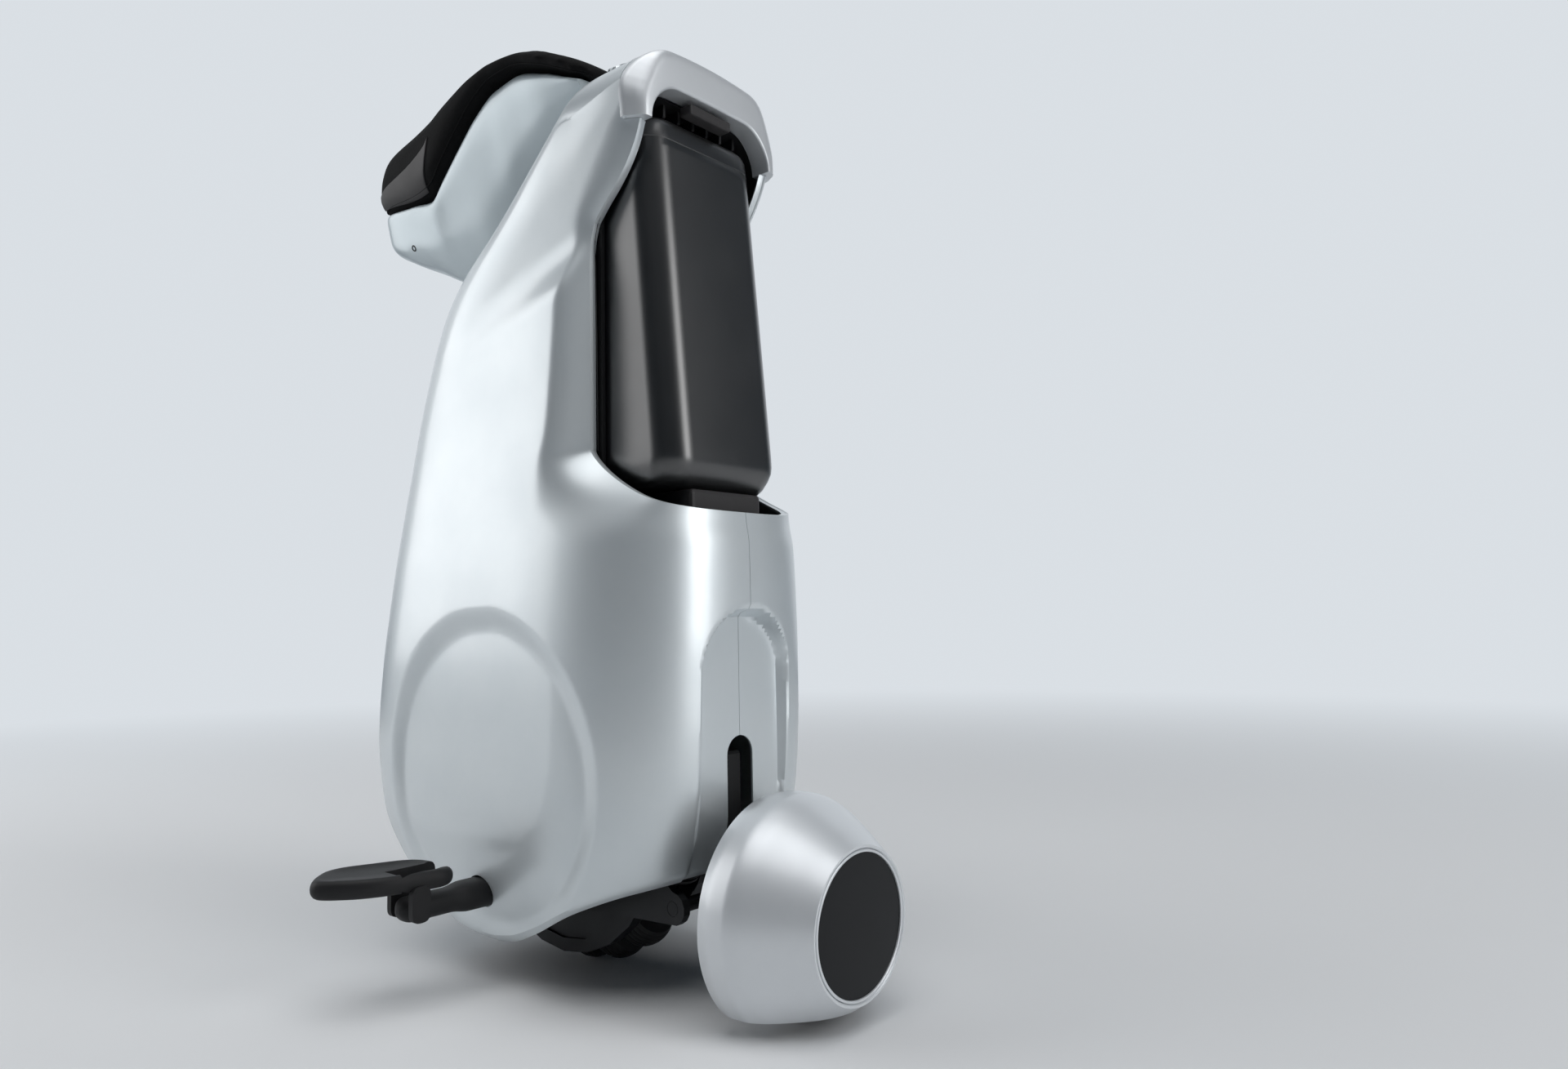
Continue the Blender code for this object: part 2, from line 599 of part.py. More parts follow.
def build_bay():
    """Liner behind the battery, with the floor that closes the lower body, and the connector plinth."""
    inside = BATTERY_HALF_WIDTH + LINER_CLEARANCE
    outside = inside + LINER_WALL
    back = BATTERY_FRONT_Y - LINER_CLEARANCE
    reach = BATTERY_FRONT_Y + LINER_REACH
    front = back - LINER_WALL
    trough = [(-outside, reach), (-outside, front), (outside, front), (outside, reach),
              (inside, reach), (inside, back), (-inside, back), (-inside, reach)]
    floor_top = BAY_SILL_Z - BAY_FLOOR_DROP
    upright = prism("bay_liner", trough, floor_top - LINER_WALL / 2, BATTERY_TOP_Z, "Z")
    liner = add_object("bay_liner", upright, BLACK)
    t = np.linspace(0, math.pi, BODY_COLUMNS)[BODY_COLUMNS // 2:]
    x, y = body_ring(t, np.full(len(t), floor_top), BODY_WALL + GAP + SEAM)
    rear = [(a, b) for a, b in zip(x, y) if b > back]
    half = [(rear[0][0], front)] + rear[:-1] + [(0, rear[-1][1])]
    outline = half + [(-a, b) for a, b in half[-2::-1]]
    floor = cutter("bay_floor", prism("bay_floor", outline, floor_top - LINER_WALL, floor_top, "Z"))
    boolean(liner, floor, "UNION")
    bpy.context.view_layer.update()
    plinth_rear = BATTERY_REAR_Y - PLINTH_INSET
    plinth = block("connector_plinth", (-PLINTH_HALF_WIDTH, plinth_rear - PLINTH_DEPTH, floor_top + GAP),
                   (PLINTH_HALF_WIDTH, plinth_rear, BATTERY_BOTTOM_Z - GAP))
    bevel(add_object("connector_plinth", plinth, GREY), CASE_ROUNDING)
    latch_top = BODY_TOP - ARCH_BAND - GAP
    latch_y = ARCH_SEAM_Y + ARCH_DEPTH / 2
    latch = block("battery_latch", (-LATCH_HALF_WIDTH, latch_y - LATCH_DEPTH / 2, latch_top - LATCH_HEIGHT),
                  (LATCH_HALF_WIDTH, latch_y + LATCH_DEPTH / 2, latch_top))
    bevel(add_object("battery_latch", latch, GREY), LATCH_ROUNDING)


def saddle_section(y, low, high, half, keel, squareness):
    """Closed section of the saddle across X: half width at the top, keel width at the bottom."""
    angle = np.linspace(0, 2 * math.pi, SADDLE_POINTS, endpoint=False)
    c = np.sign(np.cos(angle)) * np.abs(np.cos(angle)) ** (2 / squareness)
    s = np.sign(np.sin(angle)) * np.abs(np.sin(angle)) ** (2 / squareness)
    rise = (s + 1) / 2
    width = keel + (half - keel) * np.clip(rise * SHELL_FLARE, 0, 1)
    return [(a * b, y, low + (high - low) * r) for a, b, r in zip(c, width, rise)]


def build_saddle():
    """Cushion with a drooping nose, its shell below, the trims on the nose and the post."""
    stations = np.linspace(SADDLE_TOP[0][0] * MM, SADDLE_TOP[-1][0] * MM, SADDLE_STATIONS)
    rings = []
    for y in stations:
        half = float(curve_value(SADDLE_HALF_WIDTH, y))
        low = float(curve_value(CUSHION_UNDER, y)) + GAP
        high = float(curve_value(SADDLE_TOP, y))
        rings.append(saddle_section(y, low, high, half, half, CUSHION_SQUARENESS))
    add_object("saddle_cushion", loft("saddle_cushion", rings), LEATHER)
    first = SHELL_UNDER[0][0] * MM
    last = SHELL_UNDER[-1][0] * MM
    rings = []
    for y in stations[(stations >= first) & (stations <= last)]:
        half = float(curve_value(SADDLE_HALF_WIDTH, y))
        low = float(curve_value(SHELL_UNDER, y))
        high = float(curve_value(CUSHION_UNDER, y)) - GAP
        keel = float(curve_value(SHELL_KEEL_WIDTH, y))
        low = min(low, high - SHELL_EDGE)
        rings.append(saddle_section(y, low, high, half - SHELL_INSET, keel, SHELL_SQUARENESS))
    add_object("saddle_shell", loft("saddle_shell", rings), PEARL)


def trim_mesh(name, side):
    """Dark panel laid on the cushion's flank near its nose."""
    front = TRIM_FRONT_Y
    rear = TRIM_REAR_Y
    rings = []
    for y in np.linspace(front, rear, 7):
        half = float(curve_value(SADDLE_HALF_WIDTH, y)) + TRIM_LIFT
        low = float(curve_value(CUSHION_UNDER, y)) + TRIM_MARGIN
        share = (y - front) / (rear - front)
        high = low + TRIM_FRONT_HEIGHT + (TRIM_REAR_HEIGHT - TRIM_FRONT_HEIGHT) * share
        back = y + TRIM_SLANT * share
        rings.append([(side * half, y, low), (side * (half + TRIM_THICKNESS), y, low),
                      (side * (half + TRIM_THICKNESS), back, high), (side * half, back, high)])
    return loft(name, rings)


def build_trims():
    """Left and right trim panels of the saddle's nose."""
    for label, side in SIDES:
        add_object(f"{label}_saddle_trim", trim_mesh(f"{label}_saddle_trim", side), GREY)


def build_post():
    """Saddle post with a foot flange that stands on the column."""
    foot = COLUMN_TOP_Z + GAP
    head = NECK_Z - GAP
    profile = [(0, foot), (POST_FOOT_RADIUS, foot), (POST_FOOT_RADIUS, foot + POST_FOOT_HEIGHT),
               (POST_RADIUS, foot + POST_FOOT_HEIGHT), (POST_RADIUS, head), (0, head)]
    add_object("saddle_post", turned("saddle_post", profile, 24), METAL, (0, POST_Y, 0))


def roller_profile(radius, crown, half_length, bore):
    """Closed half section of a crowned roller with a bore, as (radius, length) pairs."""
    end = radius - crown
    flat = half_length * 0.4
    return [(bore, -half_length), (end, -half_length), (radius, -flat), (radius, flat), (end, half_length),
            (bore, half_length)]


def polygon_ring(name, ring_radius, core_radius, count, sides):
    """A many-sided ring of straight round bars, lying in the XY plane about Z."""
    corner = ring_radius / math.cos(math.pi / count)
    bm = bmesh.new()
    rows = []
    for k in range(count):
        angle = 2 * math.pi * (k + 0.5) / count
        out = Vector((math.cos(angle), math.sin(angle), 0))
        stretch = 1 / math.cos(math.pi / count)
        row = []
        for j in range(sides):
            turn = 2 * math.pi * (j + 0.5) / sides
            row.append(bm.verts.new(out * (corner + core_radius * math.cos(turn) * stretch)
                                    + Vector((0, 0, core_radius * math.sin(turn)))))
        rows.append(row)
    for k in range(count):
        here = rows[k]
        there = rows[(k + 1) % count]
        for j in range(sides):
            bm.faces.new((here[j], there[j], there[(j + 1) % sides], here[(j + 1) % sides]))
    return mesh_from(bm, name, 40)


def build_main_wheel():
    """Ring core with its threaded rollers, and the two discs that grip the rollers."""
    upright = Matrix.Rotation(math.pi / 2, 4, "Y")
    core = polygon_ring("ring_core", RING_RADIUS, CORE_RADIUS, ROLLER_COUNT, ROLLER_SEGMENTS)
    core.transform(upright)
    add_object("ring_core", core, METAL, (0, 0, AXLE_Z))
    half_length = (RING_RADIUS - ROLLER_RADIUS) * math.tan(math.pi / ROLLER_COUNT) - ROLLER_SIDE_GAP
    bore = (CORE_RADIUS + BORE_PLAY) / math.cos(math.pi / ROLLER_SEGMENTS)
    section = roller_profile(ROLLER_RADIUS, ROLLER_CROWN, half_length, bore)
    shape = turned("main_roller", section, ROLLER_SEGMENTS, "Y")
    for k in range(ROLLER_COUNT):
        angle = 2 * math.pi * k / ROLLER_COUNT
        mesh = shape.copy()
        item = add_object(f"main_roller_{k + 1:02d}", mesh, RUBBER)
        item.location = (0, RING_RADIUS * math.sin(angle), AXLE_Z - RING_RADIUS * math.cos(angle))
        item.rotation_euler = (angle, 0, 0)
    bpy.data.meshes.remove(shape)
    inner = ROLLER_RADIUS + GAP
    outer = inner + DISC_THICKNESS
    web = inner + DISC_THICKNESS * DISC_WEB_SHARE
    bore = AXLE_RADIUS + GAP
    hub_end = PLATE_INNER_X - GAP
    sunk = outer - DISC_RECESS
    profile = [(bore, DISC_HUB_INNER_X), (DISC_HUB_RADIUS, DISC_HUB_INNER_X), (DISC_HUB_RADIUS, web),
               (RING_RADIUS, web), (RING_RADIUS, inner), (DISC_RADIUS, inner), (DISC_RADIUS, outer),
               (RING_RADIUS, outer), (RING_RADIUS, sunk), (DISC_HUB_RADIUS, sunk), (DISC_HUB_RADIUS, hub_end),
               (bore, hub_end)]
    for label, side in SIDES:
        mesh = turned(f"{label}_drive_disc", [(r, side * h) for r, h in profile], 24, "X")
        add_object(f"{label}_drive_disc", mesh, METAL, (0, 0, AXLE_Z))
    reach = PLATE_INNER_X + PLATE_THICKNESS
    add_object("main_axle", rod("main_axle", AXLE_RADIUS, -reach, reach, "X"), METAL, (0, 0, AXLE_Z))


def plate_outline():
    """Side outline of a frame plate: axle eye, tail lug, footrest lug and the upright to the bridge."""
    eye = AXLE_RADIUS + PLATE_MARGIN
    points = [(-BRIDGE_HALF_DEPTH, BRIDGE_LOW_Z + BRIDGE_HEIGHT), (-BRIDGE_HALF_DEPTH, BRIDGE_LOW_Z)]
    seat_y = MOTOR_Y - MOTOR_RADIUS * MOTOR_SEAT_DEPTH
    seat_rise = MOTOR_RADIUS * MOTOR_SEAT_RISE
    points += [(seat_y, MOTOR_Z + seat_rise), (seat_y, MOTOR_Z - seat_rise)]
    points += [(-eye - PLATE_FRONT, AXLE_Z), (REST_Y - ARM_HALF_DEPTH - PLATE_MARGIN, REST_Z)]
    points += [(REST_Y - ARM_HALF_DEPTH, REST_Z - ARM_HALF_HEIGHT - PLATE_MARGIN)]
    points += [(REST_Y + ARM_HALF_DEPTH, REST_Z - ARM_HALF_HEIGHT - PLATE_MARGIN)]
    points += arc(TAIL_PIVOT_Y, TAIL_PIVOT_Z, TAIL_LUG_RADIUS, -70, 90, 6)
    points += [(eye + PLATE_REAR, AXLE_Z + eye + PLATE_RISE), (BRIDGE_HALF_DEPTH, BRIDGE_LOW_Z)]
    points += [(BRIDGE_HALF_DEPTH, BRIDGE_LOW_Z + BRIDGE_HEIGHT)]
    return points


def build_frame():
    """Frame plates beside the wheel, the bridge above it, the column, control unit and motors."""
    for label, side in SIDES:
        start, end = sorted((side * PLATE_INNER_X, side * (PLATE_INNER_X + PLATE_THICKNESS)))
        mesh = prism(f"{label}_frame_plate", plate_outline(), start, end, "X")
        plate = add_object(f"{label}_frame_plate", mesh, METAL)
        bores = ((0, AXLE_Z, AXLE_RADIUS), (TAIL_PIVOT_Y, TAIL_PIVOT_Z, TAIL_PIN_RADIUS))
        for number, (y, z, radius) in enumerate(bores):
            bar = rod("plate_bore", radius + GAP, start - SEAM_PASS, end + SEAM_PASS, "X")
            tool = cutter(f"{label}_plate_bore_{number}", bar)
            tool.location = (0, y, z)
            boolean(plate, tool)
        motor = rod(f"{label}_drive_motor", MOTOR_RADIUS, side * (PLATE_INNER_X + PLATE_THICKNESS + GAP),
                    side * (PLATE_INNER_X + PLATE_THICKNESS + GAP + MOTOR_LENGTH), "X", 24)
        item = add_object(f"{label}_drive_motor", motor, BLACK, (0, MOTOR_Y, MOTOR_Z))
        bevel(item, CASE_ROUNDING)
    inside = PLATE_INNER_X - GAP
    bridge_top = BRIDGE_LOW_Z + BRIDGE_HEIGHT
    beam = block("frame_bridge", (-inside, -BRIDGE_HALF_DEPTH, BRIDGE_LOW_Z),
                 (inside, BRIDGE_HALF_DEPTH, bridge_top))
    bridge = add_object("frame_bridge", beam, METAL)
    bevel(bridge, MACHINED_ROUNDING)
    low = bridge_top + GAP
    rings = []
    half = COLUMN_DEPTH / 2
    back = BATTERY_FRONT_Y - LINER_CLEARANCE - LINER_WALL - GAP
    foot_y = back - CONTROL_DEPTH - GAP - half
    path = ((low, foot_y), (COLUMN_BEND_Z, foot_y),
            (COLUMN_TOP_Z - COLUMN_HEAD, POST_Y), (COLUMN_TOP_Z, POST_Y))
    for z, y in path:
        rings.append([(-COLUMN_HALF_WIDTH, y - half, z), (COLUMN_HALF_WIDTH, y - half, z),
                      (COLUMN_HALF_WIDTH, y + half, z), (-COLUMN_HALF_WIDTH, y + half, z)])
    column = add_object("spine_column", loft("spine_column", rings), METAL)
    bevel(column, CASE_ROUNDING, 1, 60)
    case = block("control_unit", (-CONTROL_HALF_WIDTH, back - CONTROL_DEPTH, CONTROL_LOW_Z),
                 (CONTROL_HALF_WIDTH, back, CONTROL_LOW_Z + CONTROL_HEIGHT))
    unit = add_object("control_unit", case, GREY)
    bevel(unit, MACHINED_ROUNDING)


def build_footrests():
    """Footrest arms through the shells and the pads that fold up on their pins."""
    root = PLATE_INNER_X + PLATE_THICKNESS + GAP
    for label, side in SIDES:
        angle = np.linspace(0, 2 * math.pi, ARM_POINTS, endpoint=False)
        across = np.copysign(np.abs(np.cos(angle)) ** ARM_POWER, np.cos(angle))
        upward = np.copysign(np.abs(np.sin(angle)) ** ARM_POWER, np.sin(angle))
        outline = list(zip(REST_Y + ARM_HALF_DEPTH * across, REST_Z + ARM_HALF_HEIGHT * upward))
        knuckle = FOLD_X + FOLD_PIN_RADIUS + KNUCKLE_MARGIN
        mesh = prism(f"{label}_footrest_arm", outline, side * root, side * knuckle, "X")
        arm = add_object(f"{label}_footrest_arm", mesh, BLACK)
        bevel(arm, MACHINED_ROUNDING, 2, 60)
        eye = cutter(f"{label}_fold_bore", rod("fold_bore", FOLD_PIN_RADIUS + GAP, -PASS, PASS, "Y", 16))
        eye.location = (side * FOLD_X, REST_Y, REST_Z)
        boolean(arm, eye)
        build_pad(label, side)


def build_pad(label, side):
    """One folding pad: plate with round ends, a notch over the arm, two ears and the pin."""
    low = REST_Z + PAD_LIFT
    high = low + PAD_THICKNESS
    near = PAD_INNER_X
    far = PAD_INNER_X + PAD_LENGTH
    round_off = PAD_HALF_DEPTH * PAD_CORNER_SHARE
    middle = REST_Y - PAD_FORWARD
    outline = [(near, REST_Y - PAD_HALF_DEPTH), (near, REST_Y + PAD_HALF_DEPTH * PAD_INNER_SHARE)]
    outline += arc(far - round_off, middle + PAD_HALF_DEPTH - round_off, round_off, 90, 0, 5)
    outline += arc(far - round_off, middle - PAD_HALF_DEPTH + round_off, round_off, 0, -90, 5)
    outline = [(side * (x - FOLD_X), y - REST_Y) for x, y in outline]
    mesh = prism(f"{label}_footrest_pad", outline, low - REST_Z, high - REST_Z, "Z")
    pad = add_object(f"{label}_footrest_pad", mesh, BLACK, (side * FOLD_X, REST_Y, REST_Z))
    bevel(pad, PAD_ROUNDING, 2, 50)
    inside = ARM_HALF_DEPTH + GAP
    notch_far = FOLD_PIN_RADIUS + KNUCKLE_MARGIN + NOTCH_PLAY
    notch = cutter(f"{label}_pad_notch", block("pad_notch", (-PASS, -inside - GAP, 0),
                                                    (notch_far, inside + GAP, PASS)))
    notch.location = pad.location
    if side < 0:
        notch.rotation_euler = (0, 0, math.pi)
    boolean(pad, notch)
    ear_half = FOLD_PIN_RADIUS + EAR_MARGIN
    for number, way in enumerate((-1, 1)):
        first, last = sorted((way * inside, way * (inside + EAR_THICKNESS)))
        ear = cutter(f"{label}_pad_ear_{number}", block("pad_ear", (-ear_half, first, -ear_half),
                                                        (ear_half, last, PAD_LIFT + PAD_THICKNESS / 2)))
        ear.location = pad.location
        boolean(pad, ear, "UNION")
    pin_half = inside + EAR_THICKNESS / 2
    pin = cutter(f"{label}_pad_pin", rod("pad_pin", FOLD_PIN_RADIUS, -pin_half, pin_half, "Y", 16))
    pin.location = pad.location
    boolean(pad, pin, "UNION")


def build_tail():
    """Tail arm with its shaft, the omni wheel on the shaft, the bowl cover and the disc that closes it."""
    cover_end = TAIL_REAR_Y - TAIL_DISC_THICKNESS - GAP
    shaft_end = cover_end - COVER_WALL - GAP
    shaft_start = TAIL_Y - TAIL_DRUM_HALF_WIDTH - TAIL_ARM_PLATE
    plate_face = TAIL_Y - TAIL_DRUM_HALF_WIDTH - GAP
    fin_foot = TAIL_Z + TAIL_ARM_HALF_HEIGHT
    outline = arc(TAIL_PIVOT_Y, TAIL_PIVOT_Z, TAIL_LUG_RADIUS, 90, 270, 8)
    outline += [(shaft_start, TAIL_Z - TAIL_ARM_HALF_HEIGHT), (plate_face, TAIL_Z - TAIL_ARM_HALF_HEIGHT),
                (plate_face, fin_foot), (TAIL_FIN_FRONT_Y + TAIL_FIN_DEPTH, fin_foot),
                (TAIL_FIN_FRONT_Y + TAIL_FIN_DEPTH, TAIL_FIN_TOP), (TAIL_FIN_FRONT_Y, TAIL_FIN_TOP),
                (TAIL_FIN_FRONT_Y, fin_foot)]
    half = TAIL_ARM_HALF_WIDTH
    arm = add_object("tail_arm", prism("tail_arm", outline, -half, half, "X"), BLACK)
    bevel(arm, MACHINED_ROUNDING, 1, 50)
    shaft = cutter("tail_shaft", rod("tail_shaft", TAIL_SHAFT_RADIUS, shaft_start, shaft_end, "Y"))
    shaft.location = (0, 0, TAIL_Z)
    boolean(arm, shaft, "UNION")
    eye = cutter("tail_pivot_bore", rod("tail_pivot_bore", TAIL_PIN_RADIUS + GAP, -PASS, PASS, "X"))
    eye.location = (0, TAIL_PIVOT_Y, TAIL_PIVOT_Z)
    boolean(arm, eye)
    arm.data.transform(Matrix.Translation((0, -TAIL_PIVOT_Y, -TAIL_PIVOT_Z)))
    arm.location = (0, TAIL_PIVOT_Y, TAIL_PIVOT_Z)
    reach = PLATE_INNER_X + PLATE_THICKNESS
    add_object("tail_pivot_pin", rod("tail_pivot_pin", TAIL_PIN_RADIUS, -reach, reach, "X"), METAL,
               (0, TAIL_PIVOT_Y, TAIL_PIVOT_Z))
    build_tail_wheel()
    rim = COVER_RIM_RADIUS
    band = COVER_RIM_Y + COVER_BAND
    small = TAIL_DISC_RADIUS + GAP
    wall = COVER_WALL
    shaft_hole = TAIL_SHAFT_RADIUS * 0.5
    bulge = rim + COVER_BULGE
    bulge_y = band - COVER_SHOULDER
    shoulder = rim - COVER_DRAW
    cone = small + COVER_CONE
    cone_y = band + COVER_CONE_DEPTH
    floor = cover_end - wall
    profile = [(rim - wall, COVER_RIM_Y), (rim, COVER_RIM_Y), (bulge, bulge_y), (shoulder, band)]
    profile += [(cone, cone_y), (small + wall, TAIL_REAR_Y), (small, TAIL_REAR_Y), (small, cover_end)]
    profile += [(shaft_hole, cover_end), (shaft_hole, floor), (small, floor), (cone - wall, cone_y - wall)]
    profile += [(shoulder - wall, band - wall / 2), (bulge - wall, bulge_y)]
    bowl = turned("tail_cover", profile, COVER_SEGMENTS, "Y")
    cover = add_object("tail_cover", bowl, SILVER, (0, 0, TAIL_Z))
    foot = cutter("tail_cover_foot", block("tail_cover_foot", (-rim - PASS, COVER_RIM_Y - PASS, -PASS),
                                           (rim + PASS, TAIL_REAR_Y + PASS, COVER_FOOT_Z)))
    boolean(cover, foot)
    disc = rod("tail_disc", TAIL_DISC_RADIUS, cover_end + GAP, TAIL_REAR_Y, "Y", COVER_SEGMENTS)
    add_object("tail_disc", disc, BLACK, (0, 0, TAIL_Z))


def build_tail_wheel():
    """Omni wheel: a drum with spokes and a ring of roller axles, and the rollers."""
    half = TAIL_DRUM_HALF_WIDTH
    bore = TAIL_SHAFT_RADIUS + GAP
    section = [(bore, -half), (TAIL_DRUM_RADIUS, -half), (TAIL_DRUM_RADIUS, half), (bore, half)]
    drum = turned("tail_hub", section, TAIL_DRUM_SEGMENTS, "Y")
    hub = add_object("tail_hub", drum, METAL, (0, TAIL_Y, TAIL_Z))
    lay = Matrix.Rotation(-math.pi / 2, 4, "X")
    ring = polygon_ring("tail_axle_ring", TAIL_RING_RADIUS, TAIL_CORE_RADIUS, TAIL_ROLLER_COUNT,
                        TAIL_ROLLER_SEGMENTS)
    ring.transform(lay)
    ring_tool = cutter("tail_axle_ring", ring)
    ring_tool.location = hub.location
    corner = TAIL_RING_RADIUS / math.cos(math.pi / TAIL_ROLLER_COUNT)
    for k in range(TAIL_ROLLER_COUNT):
        angle = 2 * math.pi * (k + 0.5) / TAIL_ROLLER_COUNT
        bar = block("tail_spoke", (TAIL_DRUM_RADIUS - TAIL_SPOKE_ROOT, -TAIL_SPOKE_HALF, -TAIL_SPOKE_HALF),
                    (corner + TAIL_CORE_RADIUS, TAIL_SPOKE_HALF, TAIL_SPOKE_HALF))
        bar.transform(Matrix.Rotation(-angle, 4, "Y"))
        spoke = cutter(f"tail_spoke_{k}", bar)
        spoke.location = hub.location
        boolean(hub, spoke, "UNION")
    boolean(hub, ring_tool, "UNION")
    bore = (TAIL_CORE_RADIUS + BORE_PLAY) / math.cos(math.pi / TAIL_ROLLER_SEGMENTS)
    crown = TAIL_RADIUS - math.sqrt(TAIL_RADIUS ** 2 - TAIL_ROLLER_HALF_LENGTH ** 2)
    section = roller_profile(TAIL_ROLLER_RADIUS, crown, TAIL_ROLLER_HALF_LENGTH, bore)
    shape = turned("tail_roller", section, TAIL_ROLLER_SEGMENTS, "X")
    for k in range(TAIL_ROLLER_COUNT):
        angle = 2 * math.pi * k / TAIL_ROLLER_COUNT
        item = add_object(f"tail_roller_{k + 1}", shape.copy(), RUBBER)
        height = TAIL_Z - TAIL_RING_RADIUS * math.cos(angle)
        item.location = (TAIL_RING_RADIUS * math.sin(angle), TAIL_Y, height)
        item.rotation_euler = (0, -angle, 0)
    bpy.data.meshes.remove(shape)


clear_scene()
PARTS = collection("self_balancing_ride_on")
CUTTERS = collection("cutters")
PEARL = material("pearl_paint", (0.78, 0.80, 0.82), 0.28, 0.25)
SILVER = material("silver_paint", (0.70, 0.72, 0.74), 0.30, 0.5)
BLACK = material("black_plastic", (0.02, 0.02, 0.022), 0.42)
GREY = material("grey_plastic", (0.09, 0.09, 0.095), 0.45)
LEATHER = material("saddle_cover", (0.018, 0.018, 0.02), 0.6)
RUBBER = material("roller_rubber", (0.02, 0.02, 0.02), 0.75)
METAL = material("bare_metal", (0.6, 0.6, 0.62), 0.35, 1.0)

build_shells()
build_arch()
build_battery()
build_bay()
build_saddle()
build_trims()
build_post()
build_main_wheel()
build_frame()
build_footrests()
build_tail()
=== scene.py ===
"""Dressed scene of a ride-on self-balancing device: fine surfaces, finishes, studio and camera.

Metres, +Z up. The rider faces -Y and the rider's left is +X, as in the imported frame.
"""
from __future__ import annotations

import json
import logging
import math
from dataclasses import dataclass
from enum import Enum

import bmesh
import bpy
import numpy as np
from mathutils import Matrix, Vector

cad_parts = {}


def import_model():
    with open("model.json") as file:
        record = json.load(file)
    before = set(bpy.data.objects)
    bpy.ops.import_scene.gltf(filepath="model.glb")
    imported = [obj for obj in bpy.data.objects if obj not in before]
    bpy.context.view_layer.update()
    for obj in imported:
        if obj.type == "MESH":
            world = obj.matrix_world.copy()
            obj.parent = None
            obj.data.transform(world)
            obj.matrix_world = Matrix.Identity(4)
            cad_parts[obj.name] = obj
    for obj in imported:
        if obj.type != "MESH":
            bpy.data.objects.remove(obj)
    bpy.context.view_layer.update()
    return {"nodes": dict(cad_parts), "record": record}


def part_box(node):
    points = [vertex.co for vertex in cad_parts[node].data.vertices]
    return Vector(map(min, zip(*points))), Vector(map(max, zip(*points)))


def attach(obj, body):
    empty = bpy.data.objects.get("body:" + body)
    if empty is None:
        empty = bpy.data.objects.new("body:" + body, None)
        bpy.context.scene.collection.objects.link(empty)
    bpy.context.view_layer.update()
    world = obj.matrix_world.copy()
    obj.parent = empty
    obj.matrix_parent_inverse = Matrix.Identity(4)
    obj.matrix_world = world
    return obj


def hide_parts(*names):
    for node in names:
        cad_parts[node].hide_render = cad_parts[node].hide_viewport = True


LOG = logging.getLogger("ride_on")
MM = 0.001
CUT_ANGLE = 32
SMOOTH_ANGLE = 40
MERGE_DISTANCE = 2e-6
SHORTEST_EDGE = 1e-6
CORNER_SHARE = 0.45
Pair = tuple[float, float]
Stations = tuple[Pair, ...]
Triple = tuple[float, float, float]
Array = np.ndarray
Mesh = bpy.types.Mesh
Object = bpy.types.Object
Tree = bpy.types.NodeTree
Socket = bpy.types.NodeSocket


class Side(Enum):
    """Which half of the device a piece belongs to."""

    LEFT = 1
    RIGHT = -1

    @property
    def label(self) -> str:
        """Lower-case word used in node names."""
        return self.name.lower()


class Grain(Enum):
    """Relief that a finish shows close up."""

    SMOOTH = "smooth"
    SPARK = "spark"
    LEATHER = "leather"


def curve(stations: Stations, at: Array | float) -> Array:
    """Read (position, value) pairs as a smooth curve without overshoot.

    Args:
        stations: Positions in mm and values in any unit.
        at: Positions in metres.

    Returns:
        Cubic Hermite values in the stations' own unit, with harmonic-mean tangents.
    """
    x, v = (np.array(c, float) for c in zip(*stations))
    x = x * MM
    slope = np.diff(v) / np.diff(x)
    tangent = np.concatenate([slope[:1], np.zeros(len(x) - 2), slope[-1:]])
    same = slope[:-1] * slope[1:] > 0
    tangent[1:-1] = np.where(same, 2 * slope[:-1] * slope[1:] / np.where(same, slope[:-1] + slope[1:], 1), 0)
    at = np.clip(np.asarray(at, float), x[0], x[-1])
    i = np.clip(np.searchsorted(x, at) - 1, 0, len(x) - 2)
    h = x[i + 1] - x[i]
    s = (at - x[i]) / h
    return ((1 + 2 * s) * (1 - s) ** 2 * v[i] + s * (1 - s) ** 2 * h * tangent[i]
            + s * s * (3 - 2 * s) * v[i + 1] + s * s * (s - 1) * h * tangent[i + 1])


def length_curve(stations: Stations, at: Array | float) -> Array:
    """The smooth curve of lengths in mm, given back in metres."""
    return curve(stations, at) * MM


def step(value: Array) -> Array:
    """Smooth step: 0 below 0, 1 above 1, a cubic between."""
    s = np.clip(value, 0, 1)
    return s * s * (3 - 2 * s)


def soft_min(a: Array, b: Array, radius: float | Array) -> Array:
    """The smaller of two surfaces, with their crossing rounded over about the radius."""
    h = np.clip(0.5 + 0.5 * (b - a) / radius, 0, 1)
    return b + (a - b) * h - radius * h * (1 - h)


def signed_power(value: Array, power: Array | float) -> Array:
    """Power of the size of a value, with its sign kept."""
    return np.sign(value) * np.abs(value) ** power


def dome(share: Array, power: Array | float) -> Array:
    """Height of a superellipse quarter over a share of its half width."""
    return (1 - share ** power) ** (1 / power)


def mix(first: Array | float, last: Array | float, share: Array | float) -> Array:
    """Value that runs from the first to the last as a share runs from 0 to 1."""
    return first + (last - first) * share


def unit(rows: Array) -> Array:
    """Rows of coordinates, each brought to length 1."""
    return rows / np.linalg.norm(rows, axis=1, keepdims=True)


def turn(count: int) -> Array:
    """Angles round a full turn, without its end."""
    return np.linspace(0, 2 * math.pi, count, endpoint=False)


def points_at(x: Array, y: Array, z: Array) -> Array:
    """Points with these coordinates, each spread over the rows and columns of the others."""
    return np.stack(np.broadcast_arrays(x, y, z), axis=-1)


